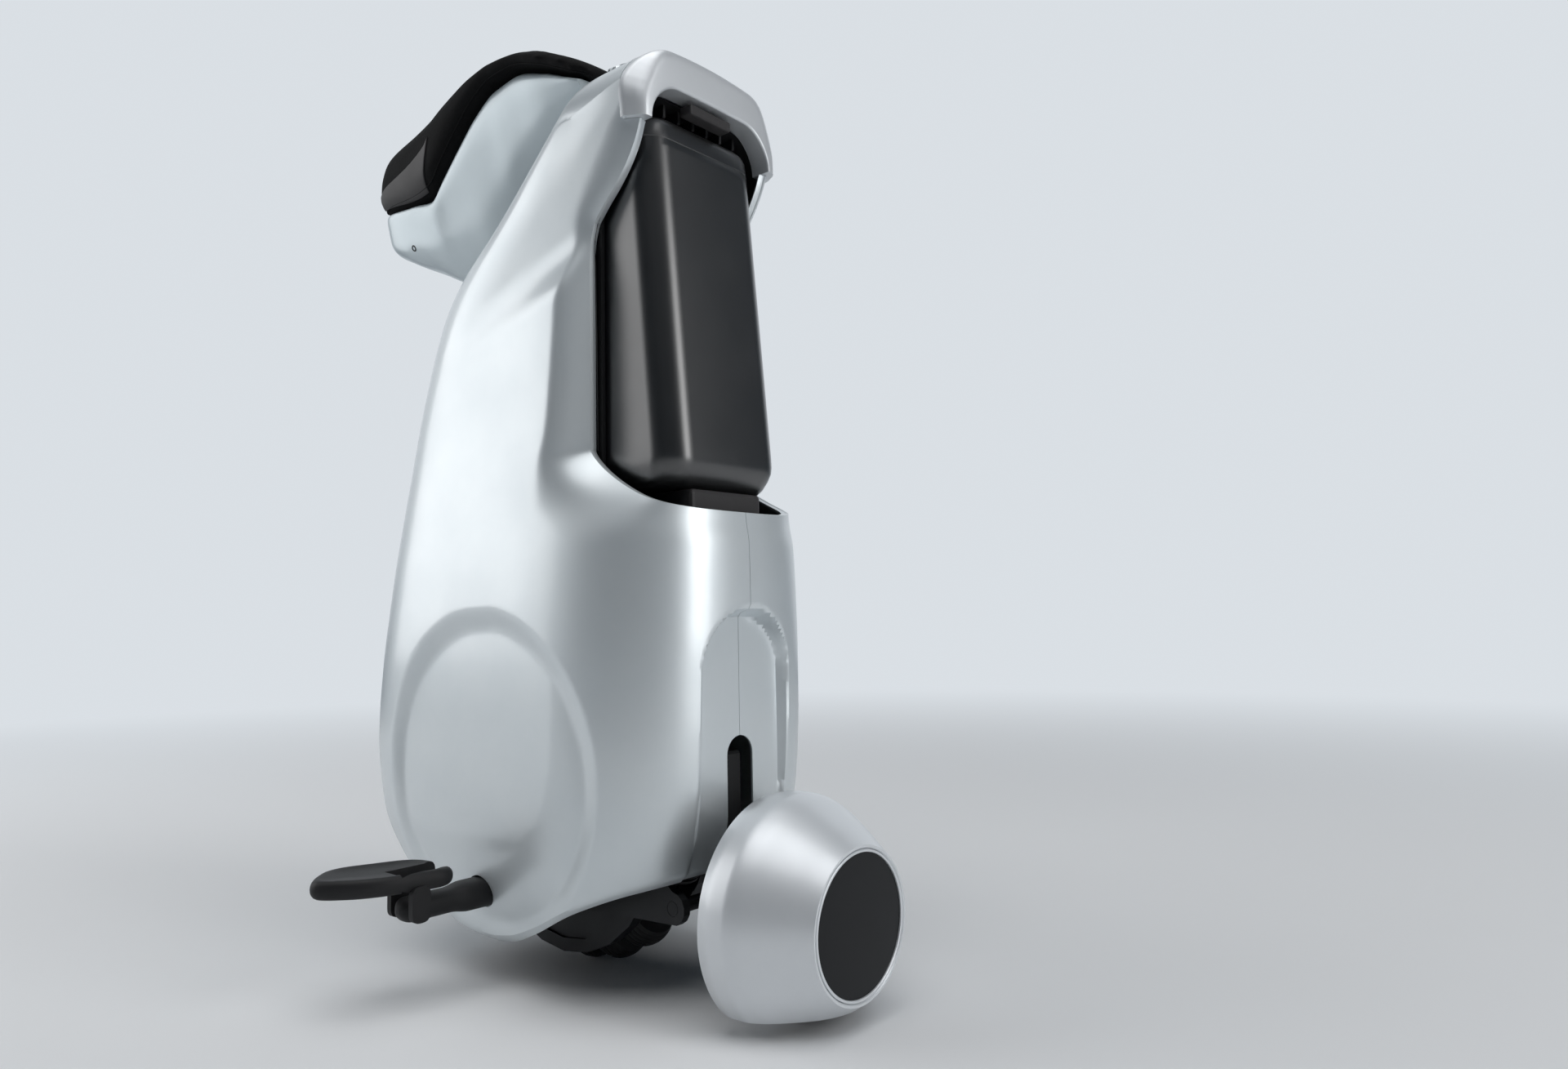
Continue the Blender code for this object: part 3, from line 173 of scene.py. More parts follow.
def grid_mesh(name: str, points: Array, wrap: bool = False, caps: bool = False) -> Mesh:
    """Skin a grid of points with quads.

    Args:
        name: Mesh name.
        points: Array of rows by columns by 3.
        wrap: Join the last column to the first.
        caps: Close the first and last row with one face each.

    Returns:
        A mesh with merged doubles and outward faces, shaded smooth.
    """
    rows, columns = points.shape[:2]
    index = np.arange(rows * columns).reshape(rows, columns)
    across = np.roll(index, -1, axis=1) if wrap else index[:, 1:]
    here = index if wrap else index[:, :-1]
    quads = np.stack([here[:-1], across[:-1], across[1:], here[1:]], axis=-1).reshape(-1, 4).tolist()
    if caps:
        quads += [index[0, ::-1].tolist(), index[-1].tolist()]
    mesh = bpy.data.meshes.new(name)
    mesh.from_pydata(points.reshape(-1, 3).tolist(), [], quads)
    bm = bmesh.new()
    bm.from_mesh(mesh)
    bmesh.ops.remove_doubles(bm, verts=bm.verts, dist=MERGE_DISTANCE)
    bmesh.ops.dissolve_degenerate(bm, edges=bm.edges, dist=SHORTEST_EDGE)
    bmesh.ops.recalc_face_normals(bm, faces=bm.faces)
    bm.to_mesh(mesh)
    bm.free()
    return shade(mesh, SMOOTH_ANGLE)


def shade(mesh: Mesh, angle: float) -> Mesh:
    """Shade a mesh smooth up to an edge angle in degrees."""
    mesh.shade_smooth()
    mesh.set_sharp_from_angle(angle=math.radians(angle))
    return mesh


def face(mesh: Mesh, way: Triple) -> Mesh:
    """Turn an open sheet so that most of its area faces a way."""
    if sum(p.area * p.normal.dot(Vector(way)) for p in mesh.polygons) < 0:
        mesh.flip_normals()
    return mesh


def revolve(name: str, profile: Array, axis: str, centre: Triple, segments: int = 72,
            closed: bool = True) -> Mesh:
    """Turn a (radius, length) profile about a line through a point.

    Args:
        name: Mesh name.
        profile: Points as radius and length along the axis.
        axis: "X", "Y" or "Z".
        centre: Point on the axis where length is 0.
        segments: Steps of the full turn.
        closed: Join the last profile point to the first.

    Returns:
        The turned surface.
    """
    if closed:
        profile = np.vstack([profile, profile[:1]])
    angle = turn(segments)
    radius, along = profile[:, :1], profile[:, 1:]
    a, b = radius * np.cos(angle), radius * np.sin(angle)
    order = {"X": (along, a, b), "Y": (b, along, a), "Z": (a, b, along)}[axis]
    return grid_mesh(name, points_at(*order) + np.array(centre), wrap=True)


def rounded_profile(corners: Stations, radius: float | tuple[float, ...], steps: int = 5) -> Array:
    """A closed outline with its corners rounded by quadratic curves.

    Args:
        corners: Corner points in order.
        radius: One radius, or one for each corner.
        steps: Points on each corner.

    Returns:
        The rounded outline.
    """
    p = np.array(corners, float)
    radius = np.broadcast_to(radius, len(p))
    start, end = (p + way * np.minimum(radius / np.linalg.norm(way, axis=1), CORNER_SHARE)[:, None]
                  for way in (np.roll(p, 1, axis=0) - p, np.roll(p, -1, axis=0) - p))
    s = np.linspace(0, 1, steps)[None, :, None]
    bend = (1 - s) ** 2 * start[:, None] + 2 * s * (1 - s) * p[:, None] + s * s * end[:, None]
    return bend.reshape(-1, 2)


def ring_tube(name: str, path: Array, radius: float, sides: int = 8) -> Mesh:
    """Carry a round profile along a closed path, framed against the axis on which the path spreads least.

    Args:
        name: Mesh name.
        path: Points along the middle line.
        radius: Radius of the round profile.
        sides: Points round the profile.

    Returns:
        The swept surface.
    """
    tangent = unit(np.roll(path, -1, axis=0) - np.roll(path, 1, axis=0))
    spread = path.max(axis=0) - path.min(axis=0)
    across = unit(np.cross(tangent, np.eye(3)[int(np.argmin(spread))]))
    other = np.cross(across, tangent)
    angle = turn(sides)[:, None]
    points = path[:, None] + radius * (across[:, None] * np.cos(angle) + other[:, None] * np.sin(angle))
    return grid_mesh(name, np.concatenate([points, points[:1]]), wrap=True)


def link(name: str, data: bpy.types.ID) -> Object:
    """A new object of some data, linked into the scene."""
    made = bpy.data.objects.new(name, data)
    bpy.context.scene.collection.objects.link(made)
    return made


def add(mesh: Mesh, finish: Finish, body: str, *nodes: str, slot: str = "") -> Object:
    """Link a piece under its mesh's name, dress it and tie it to its body.

    Args:
        mesh: Finished mesh, in place.
        finish: Surface finish.
        body: Body that the piece rides on.
        nodes: CAD nodes that the piece stands for.
        slot: Record slot, where it isn't the finish's own; not used.

    Returns:
        The new object.
    """
    made = link(mesh.name, mesh)
    mesh.materials.clear()
    mesh.materials.append(finish.material())
    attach(made, body)
    if nodes:
        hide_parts(*nodes)
    LOG.info("%s: %d faces", made.name, len(mesh.polygons))
    return made


def modify(item: Object, kind: str, **settings: object) -> bpy.types.Modifier:
    """Put a modifier with its settings on an object."""
    made = item.modifiers.new(kind.lower(), kind)
    for setting, value in settings.items():
        setattr(made, setting, value)
    return made


def baked(item: Object) -> Mesh:
    """Plain mesh of an object with its modifiers. It takes over the name of the old mesh, which goes."""
    bpy.context.view_layer.update()
    done = bpy.data.meshes.new_from_object(item.evaluated_get(bpy.context.evaluated_depsgraph_get()))
    old, name = item.data, item.data.name
    bpy.data.objects.remove(item)
    bpy.data.meshes.remove(old)
    done.name = name
    return done


def cut_mesh(mesh: Mesh, tools: tuple[Mesh, ...], wall: float = 0.0) -> Mesh:
    """Give an open sheet a wall, cut it with closed tools and hand back the plain result.

    Args:
        mesh: Sheet or solid.
        tools: Closed cutting meshes.
        wall: Wall thickness laid inwards, 0 for a solid.

    Returns:
        A new mesh with sharp cut edges.
    """
    item = link("cut_work", mesh)
    if wall:
        modify(item, "SOLIDIFY", thickness=wall, offset=-1)
    helpers = [link("cut_tool", tool) for tool in tools]
    for helper in helpers:
        modify(item, "BOOLEAN", operation="DIFFERENCE", object=helper, solver="MANIFOLD")
    done = baked(item)
    for helper in helpers:
        bpy.data.objects.remove(helper)
    return shade(done, CUT_ANGLE)


def extrude(name: str, outline: Array, start: float, end: float, axis: str) -> Mesh:
    """Prism of a flat outline along an axis. Outline pairs are the other two axes in XYZ order."""
    ends = np.array([[start], [end]])
    a, b = outline.T
    order = {"X": (ends, a, b), "Y": (a, ends, b), "Z": (a, b, ends)}[axis]
    return grid_mesh(name, points_at(*order), wrap=True, caps=True)


def arc(cx: float, cy: float, radius: float, first: float, last: float, steps: int = 16) -> Array:
    """Points on an arc between two angles in degrees."""
    angle = np.radians(np.linspace(first, last, steps))
    return np.stack([cx + radius * np.cos(angle), cy + radius * np.sin(angle)], axis=-1)


def roller_ring(names: list[str], profile: Array, wheel: str, centre: Triple, ring: float,
                segments: int) -> None:
    """Rubber rollers threaded on a ring from its lowest point on, each turned about its own tangent.

    Args:
        names: Node of each roller, which is also its body.
        profile: Roller profile as radius and length.
        wheel: Axis of the ring, "X" or "Y".
        centre: Middle of the ring.
        ring: Radius of the ring.
        segments: Steps of a roller's turn.
    """
    own, way = {"X": ("Y", 1), "Y": ("X", -1)}[wheel]
    for angle, name in zip(turn(len(names)), names):
        mesh = revolve(f"{name}_tyre", profile, own, (0, 0, 0), segments)
        spin = Matrix.Rotation(way * angle, 4, wheel)
        mesh.transform(Matrix.Translation(centre) @ spin @ Matrix.Translation((0, 0, -ring)))
        add(mesh, RUBBER, name, name)


def node(tree: Tree, kind: str, inputs: dict[str | int, object] | None = None,
         **settings: object) -> bpy.types.Node:
    """A new shader node.

    Args:
        tree: Tree that gets it.
        kind: Node type, without the word ShaderNode.
        inputs: Value or source socket for each input, by name or number.
        settings: The node's own settings.

    Returns:
        The node, set and linked.
    """
    made = tree.nodes.new(f"ShaderNode{kind}")
    for setting, value in settings.items():
        setattr(made, setting, value)
    feed(tree, made, inputs or {})
    return made


def feed(tree: Tree, target: bpy.types.Node, inputs: dict[str | int, object]) -> None:
    """Give each listed input of a node its value, or link it to a source socket."""
    for key, value in inputs.items():
        if isinstance(value, Socket):
            tree.links.new(value, target.inputs[key])
        else:
            target.inputs[key].default_value = value


class Groups:
    """Shader node groups shared by the finishes."""

    _made: dict[str, Tree] = {}

    @classmethod
    def mottle(cls) -> Tree:
        """Slow cloudiness of a surface: a mask from layered noise."""
        if "mottle" not in cls._made:
            tree, given, result = cls._blank("mottle", "Mask")
            noise = node(tree, "TexNoise", {"Detail": 4, "Roughness": 0.55, **given})
            spread = node(tree, "MapRange", {"From Min": 0.3, "From Max": 0.7, "Value": noise.outputs["Fac"]})
            tree.links.new(spread.outputs["Result"], result)
        return cls._made["mottle"]

    @classmethod
    def relief(cls, grain: Grain) -> Tree:
        """Height of a grain: fine noise or leather cells."""
        key = f"relief_{grain.value}"
        if key not in cls._made:
            tree, given, result = cls._blank(key, "Height")
            if grain is Grain.LEATHER:
                cells = node(tree, "TexVoronoi", {"Smoothness": 0.35, **given}, feature="SMOOTH_F1")
                height = cells.outputs["Distance"]
            else:
                height = node(tree, "TexNoise", {"Detail": 2, **given}).outputs["Fac"]
            tree.links.new(height, result)
        return cls._made[key]

    @classmethod
    def _blank(cls, name: str, output: str) -> tuple[Tree, dict[str, Socket], Socket]:
        """A new group: its tree, the sources of its Vector and Scale, and the target of its one output."""
        tree = bpy.data.node_groups.new(name, "ShaderNodeTree")
        for label, way, kind in (("Vector", "INPUT", "Vector"), ("Scale", "INPUT", "Float"),
                                 (output, "OUTPUT", "Float")):
            tree.interface.new_socket(label, in_out=way, socket_type=f"NodeSocket{kind}")
        cls._made[name] = tree
        sources = tree.nodes.new("NodeGroupInput").outputs
        given = {label: sources[label] for label in ("Vector", "Scale")}
        return tree, given, tree.nodes.new("NodeGroupOutput").inputs[output]


@dataclass(frozen=True)
class Finish:
    """One surface finish: a Principled material with cloudiness and a grain."""

    name: str
    slot: str
    colour: Triple
    shade: Triple
    roughness: float
    roughness_swing: float = 0.06
    metallic: float = 0.0
    coat: float = 0.0
    coat_roughness: float = 0.05
    specular: float = 0.5
    grain: Grain = Grain.SMOOTH
    grain_size: float = 0.6 * MM
    bump: float = 0.0
    bump_depth: float = 0.4
    cloud_size: float = 60 * MM

    def material(self) -> bpy.types.Material:
        """The Blender material, made on first use."""
        found = bpy.data.materials.get(self.name)
        return found if found else self._build()

    def _build(self) -> bpy.types.Material:
        """Wire the groups into a Principled shader."""
        made = bpy.data.materials.new(self.name)
        made.use_nodes = True
        tree = made.node_tree
        place = node(tree, "TexCoord").outputs["Object"]
        cloud = self._group(tree, Groups.mottle(), place, self.cloud_size).outputs["Mask"]
        tint = node(tree, "Mix", {"Factor": cloud, "A": (*self.shade, 1), "B": (*self.colour, 1)},
                    data_type="RGBA")
        gloss = node(tree, "MapRange", {"Value": cloud, "To Min": self.roughness + self.roughness_swing,
                                        "To Max": self.roughness})
        shader = tree.nodes["Principled BSDF"]
        feed(tree, shader, {"Base Color": tint.outputs["Result"], "Roughness": gloss.outputs["Result"],
                            "Metallic": self.metallic, "Specular IOR Level": self.specular,
                            "Coat Weight": self.coat, "Coat Roughness": self.coat_roughness})
        if self.bump:
            relief = self._group(tree, Groups.relief(self.grain), place, self.grain_size)
            bump = node(tree, "Bump", {"Strength": self.bump, "Distance": self.grain_size * self.bump_depth,
                                       "Height": relief.outputs["Height"]})
            feed(tree, shader, {"Normal": bump.outputs["Normal"]})
        return made

    @staticmethod
    def _group(tree: Tree, group: Tree, place: Socket, size: float) -> bpy.types.Node:
        """Place a shared group, fed with Object coordinates and the scale of a size."""
        made = node(tree, "Group", node_tree=group)
        feed(tree, made, {"Vector": place, "Scale": 1 / size})
        return made


PEARL = Finish("pearl_coat", "pearl_paint", (0.72, 0.765, 0.785), (0.68, 0.73, 0.755), 0.38, 0.04,
               0.55, 0.5, 0.14, grain=Grain.SPARK, grain_size=0.35 * MM, bump=0.012)
SILVER = Finish("silver_coat", "silver_paint", (0.73, 0.755, 0.78), (0.69, 0.715, 0.74), 0.40, 0.05,
                0.5, 0.45, 0.16, grain=Grain.SPARK, grain_size=0.35 * MM, bump=0.02)
# Saddle shell: the body's pearl paint darkened and blued, as painted shade under the cushion.
SHADED_PEARL = Finish("saddle_shell_shaded_pearl", "pearl_paint", (0.50, 0.565, 0.595), (0.47, 0.535, 0.565), 0.40, 0.04,
               0.5, 0.4, 0.16, grain=Grain.SPARK, grain_size=0.35 * MM, bump=0.012)
CASE = Finish("battery_case_satin", "black_plastic", (0.005, 0.0055, 0.0065), (0.004, 0.0045, 0.005),
              0.34, 0.05, coat=1.0, coat_roughness=0.3, specular=1.0, grain=Grain.SPARK, grain_size=0.5 * MM,
              bump=0.12)
BLACK = Finish("black_moulding", "black_plastic", (0.013, 0.013, 0.014), (0.009, 0.009, 0.010), 0.5, 0.08,
               specular=0.3, grain=Grain.SPARK, grain_size=0.7 * MM, bump=0.15)
GREY = Finish("grey_moulding", "grey_plastic", (0.046, 0.044, 0.045), (0.038, 0.036, 0.037), 0.48, 0.08,
              specular=0.3, grain=Grain.SPARK, grain_size=0.6 * MM, bump=0.12)
COVER = Finish("seat_cloth", "saddle_cover", (0.007, 0.007, 0.0075), (0.005, 0.005, 0.0055), 0.76, 0.1,
               specular=0.12, grain=Grain.LEATHER, grain_size=1.5 * MM, bump=0.22)
RUBBER = Finish("black_rubber", "roller_rubber", (0.020, 0.020, 0.021), (0.013, 0.013, 0.013), 0.62, 0.15,
                grain=Grain.SPARK, grain_size=0.9 * MM, bump=0.2, cloud_size=18 * MM)
DARK_METAL = Finish("black_anodised", "bare_metal", (0.030, 0.031, 0.033), (0.022, 0.022, 0.024), 0.42,
                    0.1, 0.6)
GLASSY = Finish("disc_face_gloss", "black_plastic", (0.005, 0.0055, 0.007), (0.004, 0.0045, 0.0055), 0.3,
                0.05, specular=0.2, coat=0.08)
SLOT_FINISH = {f.slot: f for f in (PEARL, SILVER, BLACK, GREY, COVER, RUBBER, DARK_METAL)}


@dataclass
class BodyShells:
    """The two painted halves of the body: lofted skin, sunk flank field, rear channel, battery bay."""

    half_width: Stations = ((20, 84), (45, 97), (80, 107), (130, 112.5), (170, 113.5), (230, 112.5),
                            (300, 109), (360, 104), (420, 99.5), (480, 96), (540, 93), (600, 88.5),
                            (645, 85.5), (690, 82))
    front: Stations = ((20, -82), (35, -105), (74, -154), (120, -185), (177, -194), (227, -190),
                       (278, -182), (341, -171), (417, -154), (460, -144), (500, -135), (530, -124),
                       (549, -112), (592, -58), (612, -32), (635, 0), (654, 30), (668, 62), (690, 128))
    rear: Stations = ((20, 96), (45, 122), (80, 146), (110, 158), (150, 165), (200, 168.5), (280, 170),
                      (320, 169.5), (343, 166.5), (420, 166), (690, 160))
    middle: Stations = ((20, 0), (420, 0), (500, 8), (560, 34), (600, 58), (645, 84), (690, 108))
    front_power: Stations = ((20, 3.0), (120, 4.2), (420, 4.0), (520, 3.2), (580, 2.5), (690, 2.3))
    rear_power: Stations = ((20, 2.8), (150, 3.1), (500, 3.1), (600, 4.4), (690, 4.4))
    lower_edge: Stations = ((-200, 31), (-20, 31), (22, 34.5), (57, 45), (99, 68), (129, 82), (175, 96),
                            (220, 100))
    edge_level: float = 80 * MM
    edge_power: float = 0.6
    lip_depth: float = 4 * MM
    lip_rise: float = 7 * MM
    top: float = 679 * MM
    wall: float = 1.6 * MM
    seam: float = 0.4 * MM
    columns: int = 180
    rows: int = 210
    field_y: float = -3 * MM
    field_z: float = 157 * MM
    field_radius: float = 108 * MM
    field_border: float = 13 * MM
    field_floor: float = 104 * MM
    field_least_depth: float = 5.5 * MM
    field_edge: float = 0.16
    field_dome: float = 2 * MM
    field_inner: float = 40 * MM
    field_fade: float = 20 * MM
    channel_half: float = 44 * MM
    channel_top: float = 273 * MM
    channel_floor: float = 157.5 * MM
    channel_wall: float = 6 * MM
    channel_least_depth: float = 4 * MM
    slot_half: float = 13.5 * MM
    slot_top: float = 184 * MM
    slot_foot: float = 20 * MM
    slot_cut: Pair = (0.12, 0.2)
    sill: float = 343 * MM
    bay_rear: float = 172 * MM
    bay_flank: float = 84 * MM
    bay_rise: float = 48 * MM
    bay_power: float = 1.5
    bay_neck: Stations = ((530, 84), (545, 83.6), (558, 86), (569, 94), (584, 108), (600, 120.5),
                          (614, 128.5), (625.7, 133))
    neck_foot: float = 530 * MM
    bay_reach: float = 40 * MM
    bay_cut: Pair = (-0.2, 0.02)
    bevel_reach: float = 50 * MM
    arch_foot: float = 625.7 * MM
    arch_seam: float = 122.5 * MM
    bevel_inner: float = 75 * MM
    bevel_slope: float = 1.54
    sill_slope: float = 0.8
    sill_blend: float = 70 * MM
    bevel_round: float = 11 * MM
    neck_inner: float = 70 * MM
    neck_slope: float = 0.85
    neck_rise: float = 80 * MM
    neck_spread: float = 0.6
    scoop_tip: Triple = (95.5 * MM, -74 * MM, 482 * MM)
    scoop_low: Triple = (72 * MM, 124 * MM, 555 * MM)
    scoop_high: Triple = (80.5 * MM, 124 * MM, 685 * MM)
    scoop_wall: float = 1.3
    scoop_round: float = 5 * MM
    scoop_lip: float = 9 * MM
    scoop_hollow: float = 20 * MM
    scoop_lead: float = 0.8
    shoulder_half: float = 82 * MM
    shoulder_corner: float = 40 * MM
    shoulder_draft: float = 7 * MM
    shoulder_foot: float = 575 * MM
    shoulder_fade: float = 25 * MM
    shoulder_round: float = 3 * MM
    crown: float = 8 * MM
    shoulder_front: float = 30 * MM
    shoulder_run: float = 50 * MM
    top_rows: int = 24
    top_rise: float = 2.2
    rim_width: float = 6 * MM
    rim_sink: float = 0.9 * MM
    rim_set: float = 0.5 * MM
    rim_fall: float = 1.2 * MM
    rest_hole: Pair = (14.6 * MM, 12 * MM)
    rest_y: float = -14 * MM
    rest_z: float = 69 * MM
    rest_cut: Pair = (-0.16, -0.06)
    post_y: float = -98 * MM
    post_hole: float = 18 * MM
    post_cut: Pair = (0.5, 0.72)

    def bay_outline(self, steps: int = 24) -> Array:
        """Side outline of the bay edge: sill, sweep up to the flank, sweep back to the arch seam."""
        a = np.linspace(0, math.pi / 2, steps)
        corner = np.stack([self.bay_rear - (self.bay_rear - self.bay_flank) * np.sin(a) ** self.bay_power,
                           self.sill + self.bay_rise * (1 - np.cos(a) ** self.bay_power)], axis=-1)
        z = np.linspace(self.neck_foot, self.arch_foot, steps)
        return np.vstack([corner, np.stack([length_curve(self.bay_neck, z), z], axis=-1)])

    def skin(self) -> Array:
        """Outer surface of the left half as rows by columns by 3.

        A superellipse section at each height, front and rear halves with their own power, is pushed
        in by the scoop under the shoulder ridge, the bevel round the bay, the flank field and the channel.
        Extra rows close the top, and the shoulders round over to the arch's outline.
        """
        t = np.linspace(0, math.pi, self.columns)
        ahead, behind = (length_curve(ends, self.edge_level) for ends in (self.front, self.rear))
        reach = np.where(t < math.pi / 2, ahead, behind)
        bottom = length_curve(self.lower_edge, reach * np.abs(np.cos(t)) ** self.edge_power)
        v = np.concatenate([np.linspace(0, 1, self.rows), np.ones(self.top_rows)])[:, None]
        over = np.concatenate([np.zeros(self.rows), np.linspace(0, 1, self.top_rows + 1)[1:]])[:, None]
        level = np.full_like(t, self.top)
        crest = self._shoulder(*self._section(t, level, 1), level)[1]
        z = mix(bottom, crest, v)
        z = mix(z, self.top, np.minimum(1, self.top_rise * over))
        x, y = self._section(t, z, 1 - over ** 2)
        x = self._bay_bevel(self._scoop(x, y, z), y, z)
        x, z = self._shoulder(x, y, z)
        x = self._field(x, y, z)
        y = self._channel(x, y, z, t)
        lip = self.lip_depth * step(1 - (z - bottom) / self.lip_rise) ** 2
        x = x - lip * np.abs(np.sin(t))
        x[:, 0] = x[:, -1] = self.seam / 2
        return points_at(np.maximum(x, self.seam / 2), y + lip * np.cos(t), z)

    def _section(self, t: Array, z: Array, shrink: Array | float) -> tuple[Array, Array]:
        """Superellipse section: X and Y at angles and heights, shrunk towards the section's middle."""
        half, mid = length_curve(self.half_width, z), length_curve(self.middle, z)
        ahead = t <= math.pi / 2
        power = np.where(ahead, 2 / curve(self.front_power, z), 2 / curve(self.rear_power, z))
        span = np.where(ahead, length_curve(self.front, z) - mid, length_curve(self.rear, z) - mid)
        return (half * np.abs(np.sin(t)) ** power * shrink,
                mid + span * np.abs(np.cos(t)) ** power * shrink)

    def _scoop(self, x: Array, y: Array, z: Array) -> Array:
        """Hollow under the shoulder ridge: a plane through three points, a wall below their lower edge."""
        tip, low, high = (np.array(p) for p in (self.scoop_tip, self.scoop_low, self.scoop_high))
        normal = np.cross(low - tip, high - tip)
        floor = tip[0] - (normal[1] * (y - tip[1]) + normal[2] * (z - tip[2])) / normal[0]
        edge = tip[2] + (y - tip[1]) * (low[2] - tip[2]) / (low[1] - tip[1])
        below = -soft_min(z - edge, np.zeros_like(z), self.scoop_hollow)
        lip = step((edge - z) / self.scoop_hollow + self.scoop_lead)
        return soft_min(x, floor + below / self.scoop_wall, mix(self.scoop_round, self.scoop_lip, lip))

    def _bay_bevel(self, x: Array, y: Array, z: Array) -> Array:
        """Bevel round the bay: the flank slopes in with the distance from the bay's side outline."""
        edge = self.bay_outline()
        edge = np.vstack([edge, [edge[-1, 0], self.top + self.bevel_reach]])
        start, run = edge[:-1], np.diff(edge, axis=0)
        py, pz = y[..., None] - start[:, 0], z[..., None] - start[:, 1]
        share = np.clip((py * run[:, 0] + pz * run[:, 1]) / (run ** 2).sum(axis=1), 0, 1)
        gap = np.sqrt(((py - share * run[:, 0]) ** 2 + (pz - share * run[:, 1]) ** 2).min(axis=-1))
        inside = (z > self.sill) & (y > np.interp(z, edge[:, 1], edge[:, 0]))
        neck = step((z - self.neck_foot) / self.neck_rise)
        inner = mix(self.bevel_inner, self.neck_inner, neck)
        inner = inner + self.neck_spread * np.maximum(z - self.arch_foot, 0)
        rate = mix(self.sill_slope, self.bevel_slope, step((z - self.sill) / self.sill_blend))
        slope = inner + np.where(inside, -gap, gap) * mix(rate, self.neck_slope, neck)
        return np.maximum(soft_min(x, slope, self.bevel_round), 0)

    def _shoulder(self, x: Array, y: Array, z: Array) -> tuple[Array, Array]:
        """Round the shoulder over: sides lean in and the top falls along the arch's corner arc."""
        weight = step((y - self.shoulder_front) / self.shoulder_run)
        low = self.top - self.shoulder_corner
        drop = np.clip((low - z) / (low - self.shoulder_foot), 0, 1)
        side = self.shoulder_half + self.shoulder_draft * drop
        side = side + np.maximum(self.shoulder_foot - z, 0) ** 2 / self.shoulder_fade
        x = x - weight * (x - soft_min(x, side, self.shoulder_round))
        reach = np.clip(x - (self.shoulder_half - self.shoulder_corner), 0, self.shoulder_corner)
        crest = low + np.sqrt(self.shoulder_corner ** 2 - reach ** 2)
        above = step((z - low) / self.shoulder_corner)
        lift = self.crown * above * np.clip(1 - (x / self.shoulder_half) ** 2, 0, 1)
        return x, z - weight * (np.maximum(z - crest, 0) - lift)

    def _field(self, x: Array, y: Array, z: Array) -> Array:
        """Round field: the floor is a shallow dome, the border a soft wall."""
        r = np.hypot(y - self.field_y, z - self.field_z)
        ramp = (self.field_radius + self.field_border - r) / self.field_border
        mask = np.where(ramp > 0.5, soft_min(ramp, np.ones_like(r), self.field_edge),
                        -soft_min(-ramp, np.zeros_like(r), self.field_edge))
        floor = self.field_floor + self.field_dome * np.clip(1 - (r / self.field_radius) ** 2, 0, 1)
        depth = np.maximum(x - floor, self.field_least_depth)
        return x - mask * depth * step((x - self.field_inner) / self.field_fade)

    def _channel(self, x: Array, y: Array, z: Array, t: Array) -> Array:
        """Round-topped rear channel with soft walls."""
        crown = self.channel_top - self.channel_half
        inside = self.channel_half - np.hypot(x, np.maximum(z - crown, 0))
        mask = step(inside / self.channel_wall + 0.5) * (t > math.pi / 2)
        return y - mask * np.maximum(y - self.channel_floor, self.channel_least_depth)

    def tools(self) -> tuple[Mesh, ...]:
        """Cutting bodies of the right half: bay, slot, footrest hole and post hole."""
        far, above = self.bay_rear + self.bay_reach, self.top + self.bay_reach
        bay = np.vstack([[far, self.sill], self.bay_outline(), [self.arch_seam, self.arch_foot],
                         [self.arch_seam, above], [far, above]])
        slot = np.vstack([[-self.slot_half, self.slot_foot], [self.slot_half, self.slot_foot],
                          arc(0, self.slot_top - self.slot_half, self.slot_half, 0, 180)])
        hole = arc(0, 0, 1, 0, 350, 36) * np.array(self.rest_hole) + np.array([self.rest_y, self.rest_z])
        post = arc(0, self.post_y, self.post_hole, 0, 345, 24)
        return (extrude("bay", bay, *self.bay_cut, "X"), extrude("slot", slot, *self.slot_cut, "Y"),
                extrude("rest", hole, *self.rest_cut, "X"), extrude("post", post, *self.post_cut, "Z"))

    def build(self) -> None:
        """Make the right half, and the left half as its mirror."""
        sheet = grid_mesh("right_body_skin", self.skin() * np.array([-1, 1, 1]))
        right = cut_mesh(face(sheet, (-1, 0, 0)), self.tools(), self.wall)
        left = right.copy()
        left.name = "left_body_skin"
        left.transform(Matrix.Diagonal((-1, 1, 1, 1)))
        left.flip_normals()
        for side, mesh in ((Side.LEFT, left), (Side.RIGHT, right)):
            add(mesh, PEARL, "chassis", f"{side.label}_body_shell")
            self._rim(side)

    def _flank(self, y: Array, z: Array) -> Array:
        """Half width of the finished skin at side places behind the section's middle."""
        mid = length_curve(self.middle, z)
        share = np.clip((y - mid) / (length_curve(self.rear, z) - mid), 0, 1)
        x = length_curve(self.half_width, z) * dome(share, curve(self.rear_power, z))
        return self._shoulder(self._bay_bevel(self._scoop(x, y, z), y, z), y, z)[0]

    def _rim(self, side: Side) -> None:
        """Turned-in edge of the bay: a strip from the skin's edge inwards, falling away from it."""
        edge = self.bay_outline(40)[6:]
        y, z = edge[:, :1], edge[:, 1:]
        share = np.linspace(0, 1, 9)
        x = self._flank(y, z) - self.rim_sink - self.rim_width * share
        back = y - self.rim_set - self.rim_fall * share ** 2
        sheet = grid_mesh(f"{side.label}_bay_rim", points_at(side.value * x, back, z))
        add(cut_mesh(face(sheet, (0, 1, 0)), (), self.wall), PEARL, "chassis")


